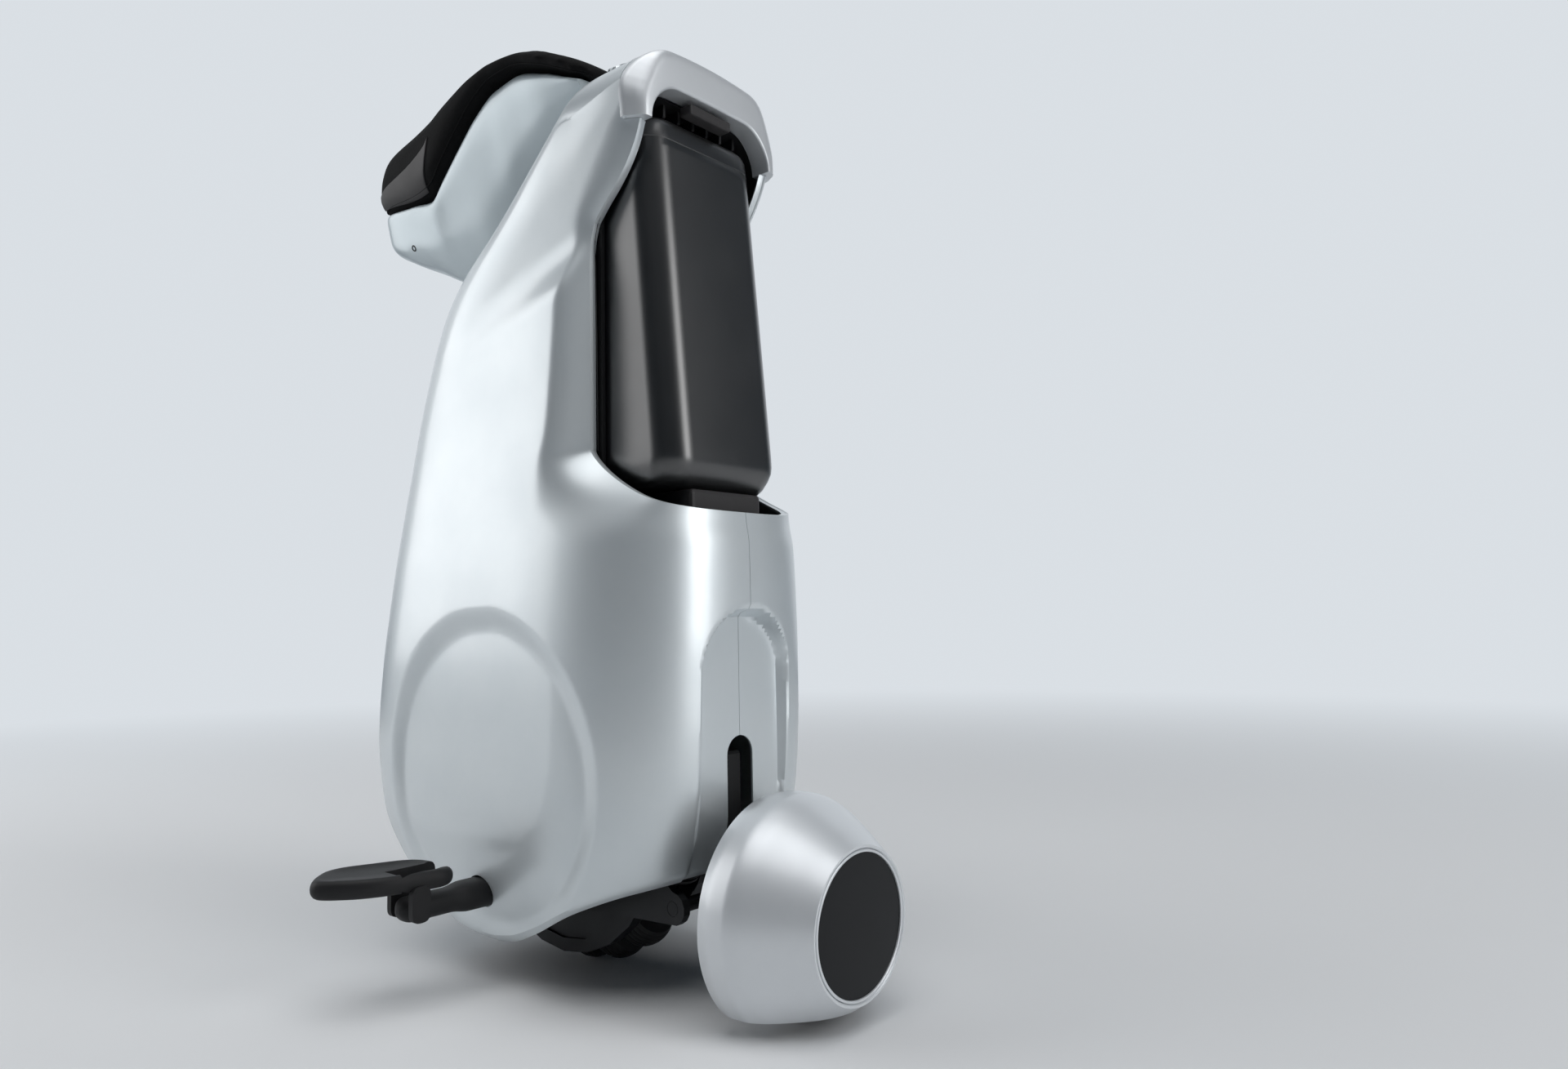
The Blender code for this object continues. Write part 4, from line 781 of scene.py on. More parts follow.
@dataclass
class HandleArch:
    """Painted arch over the battery, crowned on its rear face."""

    outer_half: float = 82 * MM
    inner_half: float = 63.5 * MM
    top: float = 679 * MM
    band: float = 25 * MM
    corner: float = 40 * MM
    inner_corner: float = 28 * MM
    crown: float = 8 * MM
    taper: float = 3 * MM
    taper_rise: float = 30 * MM
    foot: float = 626 * MM
    seam: float = 122.8 * MM
    depth: float = 17.6 * MM
    inner_edge: Stations = ((0, 0), (0, 0.93), (0.04, 1))
    inner_radii: Triple = (0.01, 0.05, 0.04)
    outer_radius: float = 0.02
    upright: Stations = ((0.88, 1), (1, 0.8))
    upright_radii: Pair = (0.2, 0.2)
    slanted: Stations = ((0.52, 0.96), (0.97, 0.2))
    slanted_radii: Pair = (0.45, 0.1)
    hood_half: float = 66.2 * MM
    hood_top: float = 653 * MM
    hood_front: float = 66 * MM
    hood_flare: float = 3 * MM
    flare_rate: float = 1.6
    hood_fill: float = 0.97
    hood_foot: float = 394 * MM
    hood_middle: float = 560 * MM
    hood_gap: float = 1.2 * MM
    hood_wall: float = 0.8 * MM
    hood_rows: tuple[int, int] = (6, 14)
    ribs: int = 7
    rib: Stations = ((80, 646), (118, 644), (118, 655), (80, 655))
    rib_reach: float = 46 * MM
    rib_half: float = 1.2 * MM
    rib_round: float = 2 * MM

    def build(self) -> None:
        """Carry a profile between the inner and the outer outline, and line the bay behind it.

        The profile has an upright back along the top and a slanted one down the pillars.
        """
        outer = self._outline(self.outer_half, self.top, self.corner, self.foot)
        inner = self._outline(self.inner_half, self.top - self.band, self.inner_corner, self.foot)
        lean = self.taper * (1 - step((outer[:, 1] - self.foot) / self.taper_rise))
        outer[:, 0] -= np.sign(outer[:, 0]) * lean
        for path in (outer, inner):
            rise = step((path[:, 1] - self.top + self.corner) / self.corner)
            path[:, 1] += self.crown * rise * np.clip(1 - (path[:, 0] / self.outer_half) ** 2, 0, 1)
        upright = self._profile(self.upright, self.upright_radii)
        slanted = self._profile(self.slanted, self.slanted_radii)
        pillar = step(unit(np.gradient(outer, axis=0))[:, 1:] ** 2)
        across, back = (mix(upright[:, k], slanted[:, k], pillar) for k in (0, 1))
        flat = mix(inner[:, None], outer[:, None], across[..., None])
        points = points_at(flat[..., 0], self.seam + self.depth * back, flat[..., 1])
        add(grid_mesh("handle_arch_band", points, wrap=True, caps=True), SILVER, "chassis", "handle_arch")
        self._hood()

    def _profile(self, back: Stations, radii: Pair) -> Array:
        """Rounded profile of the band in shares of its width and depth, with a given rear face."""
        corners = (*self.inner_edge, *back, (1, 0))
        return rounded_profile(corners, (*self.inner_radii, *radii, self.outer_radius), 7)

    def _hood(self) -> None:
        """Dark lining of the bay: an arch outline carried back from a closed front wall, flared at its mouth.

        The mouth follows the bay's side outline, so that the lining meets the body's edge all round.
        """
        edge = BodyShells().bay_outline()[-24:]
        path = self._outline(self.hood_half, self.hood_top, self.inner_corner, self.hood_foot)
        mouth = np.minimum(np.interp(path[:, 1], edge[:, 1], edge[:, 0]), self.seam) - self.hood_gap
        front, deep = self.hood_rows
        share = np.concatenate([np.zeros(front), np.linspace(0, 1, deep)])[:, None]
        shrink = np.concatenate([np.linspace(0, self.hood_fill, front), np.ones(deep)])[:, None, None]
        flare = self.hood_flare * np.clip(1 - (1 - share) * self.flare_rate, 0, 1) ** 2
        middle = np.array([0, self.hood_middle])
        away = path - middle
        flat = middle + away * shrink + unit(away) * flare[..., None]
        y = mix(self.hood_front, mouth, share)
        sheet = grid_mesh("bay_hood", points_at(flat[..., 0], y, flat[..., 1]))
        add(cut_mesh(sheet, (), self.hood_wall), BLACK, "chassis")
        rib = rounded_profile(np.array(self.rib) * MM, self.rib_round, 4)
        for number, x in enumerate(np.linspace(-1, 1, self.ribs) * self.rib_reach, 1):
            mesh = extrude(f"bay_hood_rib_{number}", rib, x - self.rib_half, x + self.rib_half, "X")
            add(mesh, BLACK, "chassis")

    @staticmethod
    def _outline(half: float, top: float, corner: float, foot: float, count: int = 121) -> Array:
        """Arch outline from the left foot to the right foot, evenly spaced along its length."""
        left = np.vstack([[half, foot], arc(half - corner, top - corner, corner, 0, 90, 24)])
        path = np.vstack([left, left[::-1] * np.array([-1, 1])])
        length = np.concatenate([[0], np.cumsum(np.hypot(*np.diff(path, axis=0).T))])
        at = np.linspace(0, length[-1], count)
        return np.stack([np.interp(at, length, places) for places in path.T], axis=-1)


@dataclass
class Battery:
    """Satin black pack with broad corner bevels, a lower bevel and a joint line under its lid.

    The row fields are pairs in mm: a height, and how far the section is drawn in there. Heights count up
    from the base, up from the joint line and down from the top.
    """

    lean: float = 26 * MM
    corner: float = 14 * MM
    corner_round: float = 0.6
    base: float = 22 * MM
    base_draw: Pair = (0.45, 1.3)
    front_draw: float = 0.5
    lid: float = 20 * MM
    side_foot: float = 45 * MM
    side_gap: float = 6 * MM
    base_rows: Stations = ((0, 15), (1.5, 10.5), (5, 7), (11, 3.5), (17, 1), (22, 0.2), (30, 0))
    joint_rows: Stations = ((0, 0), (0.4, 0.3), (0.9, 0.3), (1.3, 0))
    top_rows: Stations = ((9, 0.3), (5, 1.6), (2, 4.2), (0.6, 7.5), (0, 12))

    def section(self, half: float, front: float, rear: float) -> Array:
        """Rounded rectangle seen from above, with broader corners at the rear."""
        corners = ((-half, front), (half, front), (half, rear - self.corner), (half - self.corner, rear),
                   (self.corner - half, rear), (-half, rear - self.corner))
        return rounded_profile(corners, self.corner * self.corner_round, 7)

    def build(self) -> None:
        """Loft the pack from its base bevel to its lid.

        The rear face leans forward with height, and the base draws in more at the rear than at the sides.
        """
        low, high = (np.array(c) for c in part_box("battery_pack"))
        height = high[2] - low[2]
        joint = height - self.lid
        rows = [(rise * MM, inset * MM) for rise, inset in self.base_rows]
        rows += [(rise, 0) for rise in np.linspace(self.side_foot, joint - self.side_gap, 14)]
        rows += [(joint + rise * MM, inset * MM) for rise, inset in self.joint_rows]
        rows += [(height - drop * MM, inset * MM) for drop, inset in self.top_rows]
        rings = []
        for rise, inset in rows:
            across, back = self.base_draw if rise < self.base + 1 * MM else (1, 1)
            rear = high[1] - self.lean * rise / height - inset * back
            flat = self.section(high[0] - inset * across, low[1] + inset * self.front_draw, rear)
            rings.append(np.column_stack([flat, np.full(len(flat), low[2] + rise)]))
        mesh = grid_mesh("battery_case", np.array(rings), wrap=True, caps=True)
        add(mesh, CASE, "battery", "battery_pack")


@dataclass
class Saddle:
    """Cushion with a drooping nose, dark nose panels, painted shell below in pearl darkened as painted shade,
    and an edge bead.
    """

    top: Stations = ((-262, 668), (-256, 700), (-230, 721), (-190, 731), (-140, 741), (-96, 745), (-48, 743),
                     (-10, 734), (20, 721), (40, 711), (52, 704))
    under: Stations = ((-262, 656), (-235, 653), (-190, 649), (-164, 652), (-145, 670), (-118, 694),
                       (-90, 716), (-66, 726), (-40, 727), (0, 715), (30, 701), (52, 692))
    shell_under: Stations = ((-254, 626), (-240, 615), (-222, 607), (-205, 600), (-180, 588), (-155, 576),
                             (-86, 576), (-66, 602), (-40, 628), (0, 660), (40, 689))
    half_width: Stations = ((-262, 38), (-252, 52), (-228, 59), (-170, 62), (-90, 66), (-20, 67), (30, 60),
                            (52, 48))
    keel: Stations = ((-254, 40), (-225, 41), (-195, 38), (-150, 32), (-90, 31), (-40, 35), (40, 42))
    ends: Pair = (-262 * MM, 52 * MM)
    end_gap: float = 0.2 * MM
    tip_round: float = 9 * MM
    tip_width: float = 0.9
    least_tip: float = 0.02
    gap: float = 0.3 * MM
    shell_ends: Pair = (-253.5 * MM, 39.5 * MM)
    shell_depth: float = 3 * MM
    shell_inset: float = 4 * MM
    shell_soften: float = 26 * MM
    chin: float = -185 * MM
    chin_run: float = 50 * MM
    chin_round: float = 16 * MM
    chin_width: float = 0.86
    chin_depth: float = 0.72
    keel_power: float = 0.85
    chin_blunting: float = 0.4
    rim_power: float = 0.4
    flare_power: float = 1.15
    rim_reach: float = 0.93
    rim_end: float = -150 * MM
    rim_fade: float = 45 * MM
    screw_place: Pair = (-205 * MM, 617 * MM)
    screw_radius: float = 3 * MM
    screw_profile: Stations = ((0, -0.35), (0.45, -0.3), (0.6, 0.1), (0.85, 0.2), (1, 0.05), (1, -0.9),
                               (0, -0.9))
    section_power: float = 0.62
    panel_ends: Pair = (-254 * MM, -170 * MM)
    panel_slant: float = 14 * MM
    panel_foot: float = 8 * MM
    panel_height: Pair = (12 * MM, 38 * MM)
    panel_reach: float = 0.98
    panel_lift: float = 0.9 * MM
    panel_wall: float = 1.8 * MM
    panel_round: float = 0.5 * MM
    voxel: float = 4.5 * MM
    pressure: float = 4.0
    frames: int = 20
    swell: float = 3 * MM
    swell_room: float = 0.6
    least_swell: float = 0.2 * MM
    resting: float = -0.7
    resting_blend: float = 0.5
    relaxing: int = 4
    draw_in: float = 0.8 * MM
    bead: float = 0.8 * MM
    bead_lift: float = 0.2
    bead_ends: Pair = (-255 * MM, 46 * MM)
    bead_level: float = math.radians(-38)

    def build(self) -> None:
        """Make the cushion with its bead, the shell and the nose panels."""
        cushion = self._cushion()
        self._shell()
        for side in Side:
            self._nose_panel(cushion, side)

    @staticmethod
    def _stations(first: float, last: float, count: int = 90) -> Array:
        """Positions along the saddle, closer together at both ends."""
        s = np.linspace(0, math.pi, count)
        return (first + (last - first) * (1 - np.cos(s)) / 2)[:, None]

    def _section(self, y: Array, angle: Array, draw: float) -> Array:
        """Cushion points: superellipse sections across X, drawn in towards both tips.

        Args:
            y: Positions along the saddle, as a column.
            angle: Section angles, 0 on the left flank and a quarter turn on top.
            draw: How far the whole form is drawn in.

        Returns:
            Rows by angles by 3.
        """
        low, high = length_curve(self.under, y) + self.gap, length_curve(self.top, y) - draw
        tip = np.clip(np.minimum(y - self.ends[0], self.ends[1] - y) / self.tip_round, 0, 1)
        round_off = np.sqrt(np.clip(1 - (1 - tip) ** 2, self.least_tip, 1))
        half = (length_curve(self.half_width, y) - draw) * mix(self.tip_width, 1, round_off)
        tall = (high - low) / 2 * round_off
        c, s = (signed_power(wave(angle), self.section_power) for wave in (np.cos, np.sin))
        return points_at(half * c, y, (low + high) / 2 + tall * s)

    def _cushion(self) -> Object:
        """Loft the cushion, swell its cover by cloth simulation, lay the bead on its flank and return it."""
        y = self._stations(self.ends[0] + self.end_gap, self.ends[1] - self.end_gap)
        draw = self.swell * self.swell_room
        mesh = grid_mesh("saddle_cushion_cover", self._section(y, turn(96), draw), wrap=True, caps=True)
        mesh = self._inflate(mesh)
        cushion = add(mesh, COVER, "chassis", "saddle_cushion")
        self._bead(cushion)
        return cushion

    def _inflate(self, mesh: Mesh) -> Mesh:
        """Remesh evenly, press the cover out as cloth for some frames and smooth the result.

        Points move out by at most the swell and in by less, and those that rest on the shell hardly move.
        """
        scene = bpy.context.scene
        even = link("cushion_even", mesh)
        modify(even, "REMESH", mode="VOXEL", voxel_size=self.voxel)
        base = baked(even)
        rest, normal = self._read(base, "co"), self._read(base, "normal")
        work = link("cushion_work", base)
        cloth = modify(work, "CLOTH").settings
        cloth.use_pressure = True
        cloth.uniform_pressure_force = self.pressure
        cloth.effector_weights.gravity = 0
        for number in range(1, self.frames + 1):
            scene.frame_set(number)
        pressed = work.evaluated_get(bpy.context.evaluated_depsgraph_get()).to_mesh()
        shift = self._read(pressed, "co") - rest
        size = np.linalg.norm(shift, axis=1, keepdims=True)
        cap = self.swell * step((normal[:, 2:] - self.resting) / self.resting_blend) + self.least_swell
        inward = (shift * normal).sum(axis=1, keepdims=True) < 0
        shift *= np.minimum(1, np.where(inward, self.draw_in, cap) / np.maximum(size, 1e-9))
        bpy.data.objects.remove(work)
        scene.frame_set(1)
        base.vertices.foreach_set("co", (rest + shift).ravel())
        fine = link("cushion_fine", base)
        modify(fine, "SMOOTH", iterations=self.relaxing)
        modify(fine, "SUBSURF", levels=1, render_levels=1)
        smooth = baked(fine)
        smooth.shade_smooth()
        return smooth

    @staticmethod
    def _read(mesh: Mesh, what: str) -> Array:
        """Places or normals of a mesh's points, as rows of 3."""
        values = np.empty(len(mesh.vertices) * 3)
        mesh.vertices.foreach_get(what, values)
        return values.reshape(-1, 3)

    def _bead(self, cushion: Object) -> None:
        """Sewn bead: a closed line at one level of the flank, laid on the finished cover."""
        y = self._stations(*self.bead_ends, 80)
        left, right = (self._section(y, np.array([level]), 0)[:, 0]
                       for level in (self.bead_level, math.pi - self.bead_level))
        laid = []
        for point in np.concatenate([left, right[::-1]]):
            found, place, normal, _ = cushion.closest_point_on_mesh(Vector(point))
            laid.append(place + normal * self.bead * self.bead_lift if found else Vector(point))
        add(ring_tube("saddle_bead", np.array(laid), self.bead), COVER, "chassis")

    def _shell(self) -> None:
        """Flared sections: wide at the cushion, quickly narrowing to the keel.

        At the nose the rim rises with the cushion's superellipse, so that no slit is left under it.
        """
        y = self._stations(*self.shell_ends)
        spread = np.linspace(-1, 1, 13) * self.shell_soften
        low = length_curve(self.shell_under, y + spread).mean(axis=1, keepdims=True)
        high, wide = length_curve(self.under, y) - self.gap, length_curve(self.half_width, y)
        low = np.minimum(low, high - self.shell_depth)
        angle = turn(96)
        blunt = step((self.chin - y) / self.chin_run)
        power = np.where(np.sin(angle) < 0, self.keel_power - self.chin_blunting * blunt, self.rim_power)
        c, s = (signed_power(wave(angle), power) for wave in (np.cos, np.sin))
        rise = (s + 1) / 2
        x = mix(length_curve(self.keel, y), wide - self.shell_inset, rise ** self.flare_power) * c
        reach = np.clip(np.abs(x) / wide, 0, self.rim_reach)
        lift = (length_curve(self.top, y) - high) / 2 * (1 - dome(reach, 2 / self.section_power))
        lift = lift * step((self.rim_end - y) / self.rim_fade)
        z = mix(low, high + lift, rise)
        front = np.clip((y - y[0]) / self.chin_round, 0, 1)
        full = np.sqrt(1 - (1 - front) ** 2)
        z = mix(high, z, mix(self.chin_depth, 1, full))
        points = points_at(x * mix(self.chin_width, 1, full), y, z)
        mesh = grid_mesh("saddle_shell_skin", points, wrap=True, caps=True)
        # The shell's darker pearl is painted shade under the cushion.
        shell = add(mesh, SHADED_PEARL, "chassis", "saddle_shell")
        for side in Side:
            self._screw(shell, side)

    def _screw(self, shell: Object, side: Side) -> None:
        """Sunk dark screw in the chin: a dished head turned about the surface normal under it."""
        start = Vector((side.value * 0.2, *self.screw_place))
        found, place, normal, _ = shell.ray_cast(start, Vector((-side.value, 0, 0)))
        if not found:
            LOG.warning("no place for the %s chin screw", side.label)
            return
        profile = np.array(self.screw_profile) * self.screw_radius
        mesh = revolve(f"{side.label}_chin_screw", profile, "Z", (0, 0, 0), 28, closed=False)
        mesh.transform(Matrix.Translation(place) @ normal.to_track_quat("Z", "Y").to_matrix().to_4x4())
        add(mesh, BLACK, "chassis")

    def _nose_panel(self, cushion: Object, side: Side) -> None:
        """Dark panel on the flank: a sheet, taller to the rear, wrapped on the cover and thickened."""
        u, v = np.linspace(0, 1, 34)[:, None], np.linspace(0, 1, 20)
        y = mix(*self.panel_ends, u) + self.panel_slant * u * v
        low, high = length_curve(self.under, y), length_curve(self.top, y)
        z = low + self.panel_foot + mix(*self.panel_height, u) * v
        level = np.clip(np.abs(2 * (z - low) / (high - low) - 1), 0, self.panel_reach)
        x = side.value * length_curve(self.half_width, y) * dome(level, 2 / self.section_power)
        sheet = grid_mesh(f"{side.label}_nose_panel", points_at(x, y, z))
        item = link("panel_work", face(sheet, (side.value, 0, 0)))
        modify(item, "SHRINKWRAP", target=cushion, wrap_mode="ABOVE_SURFACE", offset=self.panel_lift)
        modify(item, "SOLIDIFY", thickness=self.panel_wall, offset=-1)
        modify(item, "BEVEL", width=self.panel_round, segments=2)
        add(baked(item), GREY, "chassis", f"{side.label}_saddle_trim")


@dataclass
class Footrests:
    """Folding pads with soft edges and a sunk top, on round-ended arms."""

    rest_y: float = -14 * MM
    rest_z: float = 69 * MM
    arm_half: Pair = (11 * MM, 8.5 * MM)
    arm_power: float = 0.75
    arm_tip: float = 8 * MM
    least_tip: float = 0.03
    tip_start: float = 0.1
    arm_root: float = 46.5 * MM
    root_growth: float = 0.24
    root_end: float = 128 * MM
    root_run: float = 14 * MM
    knuckle: float = 166.5 * MM
    fold_x: float = 158 * MM
    pad_low: float = 83 * MM
    pad_high: float = 96 * MM
    pad_inner: float = 130 * MM
    pad_length: float = 86 * MM
    pad_half: float = 31 * MM
    pad_forward: float = 24 * MM
    pad_round: float = 19 * MM
    outer_corner: float = 0.8
    inner_share: float = 0.75
    top_inset: float = 30 * MM
    edge: float = 6 * MM
    edge_power: float = 0.7
    border: float = 3 * MM
    sink: float = 0.9 * MM
    notch_gap: float = 0.6 * MM
    notch_reach: float = 12 * MM
    notch_over: float = 20 * MM
    ear: float = 5 * MM
    ear_gap: float = 0.3 * MM
    ear_corners: Stations = ((-7, -7), (7, -7), (7, 18), (-7, 18))
    ear_round: float = 6 * MM
    pin_corners: Stations = ((0, -14), (4, -14), (4, 14), (0, 14))
    pin_round: float = 0.5 * MM

    def build(self) -> None:
        """Make both sides."""
        for side in Side:
            self._arm(side)
            self._pad(side)
            self._hinge(side)

    def _arm(self, side: Side) -> None:
        """Superellipse bar, drawn in to a rounded knuckle."""
        tip = self.arm_tip
        straight = np.linspace(0, 1, 30) * (self.knuckle - tip - self.arm_root) + self.arm_root
        end = self.knuckle - tip + tip * np.sin(np.linspace(self.tip_start, math.pi / 2, 12))
        s = np.concatenate([straight, end])[:, None]
        into = np.clip((s - self.knuckle + tip) / tip, 0, 1)
        scale = np.sqrt(np.clip(1 - into ** 2, self.least_tip, 1))
        scale = scale * (1 + self.root_growth * step((self.root_end - s) / self.root_run))
        angle = turn(40)
        y = self.rest_y + self.arm_half[0] * signed_power(np.cos(angle), self.arm_power) * scale
        z = self.rest_z + self.arm_half[1] * signed_power(np.sin(angle), self.arm_power) * scale
        mesh = grid_mesh(f"{side.label}_footrest_bar", points_at(side.value * s, y, z), wrap=True, caps=True)
        add(mesh, BLACK, "chassis", f"{side.label}_footrest_arm")

    def _outline(self) -> Array:
        """Pad outline seen from above: straight inner edge, broad round outer end."""
        half, inner = self.pad_half, self.pad_inner
        far, round_off = inner + self.pad_length, half * self.outer_corner
        middle = self.rest_y - self.pad_forward
        corners = ((inner, self.rest_y - half), (inner, self.rest_y + half * self.inner_share),
                   (far - round_off, middle + half), (far, middle + half - round_off),
                   (far, middle - half + round_off), (far - round_off, middle - half))
        return rounded_profile(corners, self.pad_round, 10)

    def _pad(self, side: Side) -> None:
        """Loft the outline through an edge rounding to a sunk top, and cut the notch over the arm."""
        outline = self._outline()
        centre = (outline.max(axis=0) + outline.min(axis=0)) / 2
        half = (self.pad_high - self.pad_low) / 2
        levels = [(self.pad_low + half - half * math.cos(a), self.edge * (1 - math.sin(a) ** self.edge_power))
                  for a in np.linspace(0, math.pi, 11)]
        levels += [(self.pad_high - self.sink, inset) for inset in (self.edge + self.border, self.top_inset)]
        size = np.abs(outline - centre)
        rings = []
        for z, inset in levels:
            flat = centre + np.sign(outline - centre) * np.maximum(size - inset * size / size.max(axis=0), 0)
            rings.append(np.column_stack([side.value * flat[:, 0], flat[:, 1], np.full(len(flat), z)]))
        mesh = grid_mesh(f"{side.label}_pad_top", np.array(rings), wrap=True, caps=True)
        width = self.arm_half[0] + self.notch_gap
        first, last = sorted((side.value * (self.pad_inner - self.notch_over),
                              side.value * (self.fold_x + self.notch_reach)))
        front, rear = self.rest_y - width, self.rest_y + width
        notch = np.array([(first, front), (last, front), (last, rear), (first, rear)])
        done = cut_mesh(mesh, (extrude("notch", notch, self.rest_z, self.pad_high + self.notch_over, "Z"),))
        add(done, BLACK, f"{side.label}_footrest", f"{side.label}_footrest_pad")

    def _hinge(self, side: Side) -> None:
        """Two ears and a pin that hold the pad on its arm."""
        body, x = f"{side.label}_footrest", side.value * self.fold_x
        profile = rounded_profile(np.array(self.ear_corners) * MM, self.ear_round, 6)
        profile = profile + np.array([x, self.rest_z])
        start = self.arm_half[0] + self.ear_gap
        for way, word in ((-1, "front"), (1, "rear")):
            ends = sorted((self.rest_y + way * start, self.rest_y + way * (start + self.ear)))
            add(extrude(f"{side.label}_pad_{word}_ear", profile, *ends, "Y"), BLACK, body)
        pin = rounded_profile(np.array(self.pin_corners) * MM, self.pin_round, 2)
        mesh = revolve(f"{side.label}_pad_pin", pin, "Y", (x, self.rest_y, self.rest_z), 24)
        add(mesh, DARK_METAL, body, slot="black_plastic")


@dataclass
class MainWheel:
    """Ring of ribbed rubber rollers."""

    count: int = 20
    ring: float = 96 * MM
    axle_z: float = 118 * MM
    radius: float = 22 * MM
    crown: float = 3 * MM
    bore: float = 7.7 * MM
    half_length: float = 11.1 * MM
    groove: float = 1.6 * MM
    ribs: int = 3
    rib_end: float = 0.9

    def build(self) -> None:
        """One ribbed roller per node: a crowned profile with grooves that follow a cosine."""
        along = np.linspace(-1, 1, 45)
        wave = 0.5 + 0.5 * np.cos(along * self.ribs * 2 * math.pi)
        grooves = self.groove * wave ** 3 * (np.abs(along) < self.rib_end)
        outside = self.radius - self.crown * along ** 2 - grooves
        profile = np.vstack([[self.bore, -self.half_length],
                             np.column_stack([outside, along * self.half_length]),
                             [self.bore, self.half_length]])
        names = [f"main_roller_{k + 1:02d}" for k in range(self.count)]
        roller_ring(names, profile, "X", (0, 0, self.axle_z), self.ring, 40)


@dataclass
class TailUnit:
    """Bowl cover with a flat foot, dark disc with a bright ring, and small omni rollers."""

    centre_z: float = 68 * MM
    rim_y: float = 189 * MM
    bowl: Stations = ((189, 78), (200, 79.8), (210, 79.6), (220, 76.6), (232, 70), (246, 61.4), (256, 54.6),
                      (262, 50.6))
    wall: float = 2.5 * MM
    bore: float = 5 * MM
    disc: float = 48 * MM
    gap: float = 0.3 * MM
    chamfer: float = 0.8 * MM
    ring: float = 2 * MM
    ring_round: float = 0.7 * MM
    face_gap: float = 0.2 * MM
    face_sink: float = 1.2 * MM
    face_dish: float = 0.5 * MM
    rear: float = 262 * MM
    disc_back: float = 257 * MM
    foot: float = 12 * MM
    foot_depth: float = -50 * MM
    foot_corners: Stations = ((-100, 150), (100, 150), (100, 300), (-100, 300))
    wheel_y: float = 216 * MM
    wheel: float = 68 * MM
    roller: float = 12 * MM
    roller_half: float = 16.5 * MM
    roller_bore: float = 3.6 * MM
    roller_count: int = 8

    def build(self) -> None:
        """Make the cover, the disc, its ring and the rollers."""
        self._cover()
        self._disc()
        self._rollers()

    def _cover(self) -> None:
        """Turned bowl: straight band, soft shoulder, cone to the disc; the foot is cut flat."""
        small, shelf = self.disc + self.gap, self.disc_back - self.gap
        y = np.linspace(self.rim_y, self.rear, 60)
        back = np.linspace(self.disc_back - self.wall, self.rim_y, 50)
        inside = np.maximum(length_curve(self.bowl, back) - self.wall, small)
        profile = np.vstack([np.column_stack([length_curve(self.bowl, y), y]),
                             [small + self.chamfer, self.rear], [small, self.rear - self.chamfer],
                             [small, shelf], [self.bore, shelf], [self.bore, self.disc_back - self.wall],
                             np.column_stack([inside, back])])
        mesh = revolve("tail_cover_bowl", profile, "Y", (0, 0, self.centre_z), 128)
        floor = extrude("tail_foot", np.array(self.foot_corners) * MM, self.foot_depth, self.foot, "Z")
        done = cut_mesh(mesh, (floor,))
        add(done, SILVER, "tail_unit", "tail_cover")

    def _disc(self) -> None:
        """Dished dark face inside a fine bright ring."""
        centre, inner = (0, 0, self.centre_z), self.disc - self.ring
        edge = inner - self.face_gap
        r = np.linspace(1, 0, 24)
        dish = np.column_stack([r * edge, self.rear - self.face_sink + self.face_dish * (1 - r ** 2)])
        profile = np.vstack([[0, self.disc_back], [edge, self.disc_back], dish])
        mesh = revolve("tail_disc_face", profile, "Y", centre, 96, closed=False)
        add(mesh, GLASSY, "tail_unit", "tail_disc")
        ring = rounded_profile(((inner, self.disc_back), (self.disc, self.disc_back), (self.disc, self.rear),
                                (inner, self.rear)), self.ring_round, 4)
        add(revolve("tail_disc_ring", ring, "Y", centre, 96), SILVER, "tail_unit")

    def _rollers(self) -> None:
        """Barrel rollers whose crown follows the wheel's circle."""
        along = np.linspace(-1, 1, 15) * self.roller_half
        outside = self.roller - self.wheel + np.sqrt(self.wheel ** 2 - along ** 2)
        profile = np.vstack([[self.roller_bore, -self.roller_half], np.column_stack([outside, along]),
                             [self.roller_bore, self.roller_half]])
        names = [f"tail_roller_{k + 1}" for k in range(self.roller_count)]
        centre = (0, self.wheel_y, self.centre_z)
        roller_ring(names, profile, "Y", centre, self.wheel - self.roller, 32)


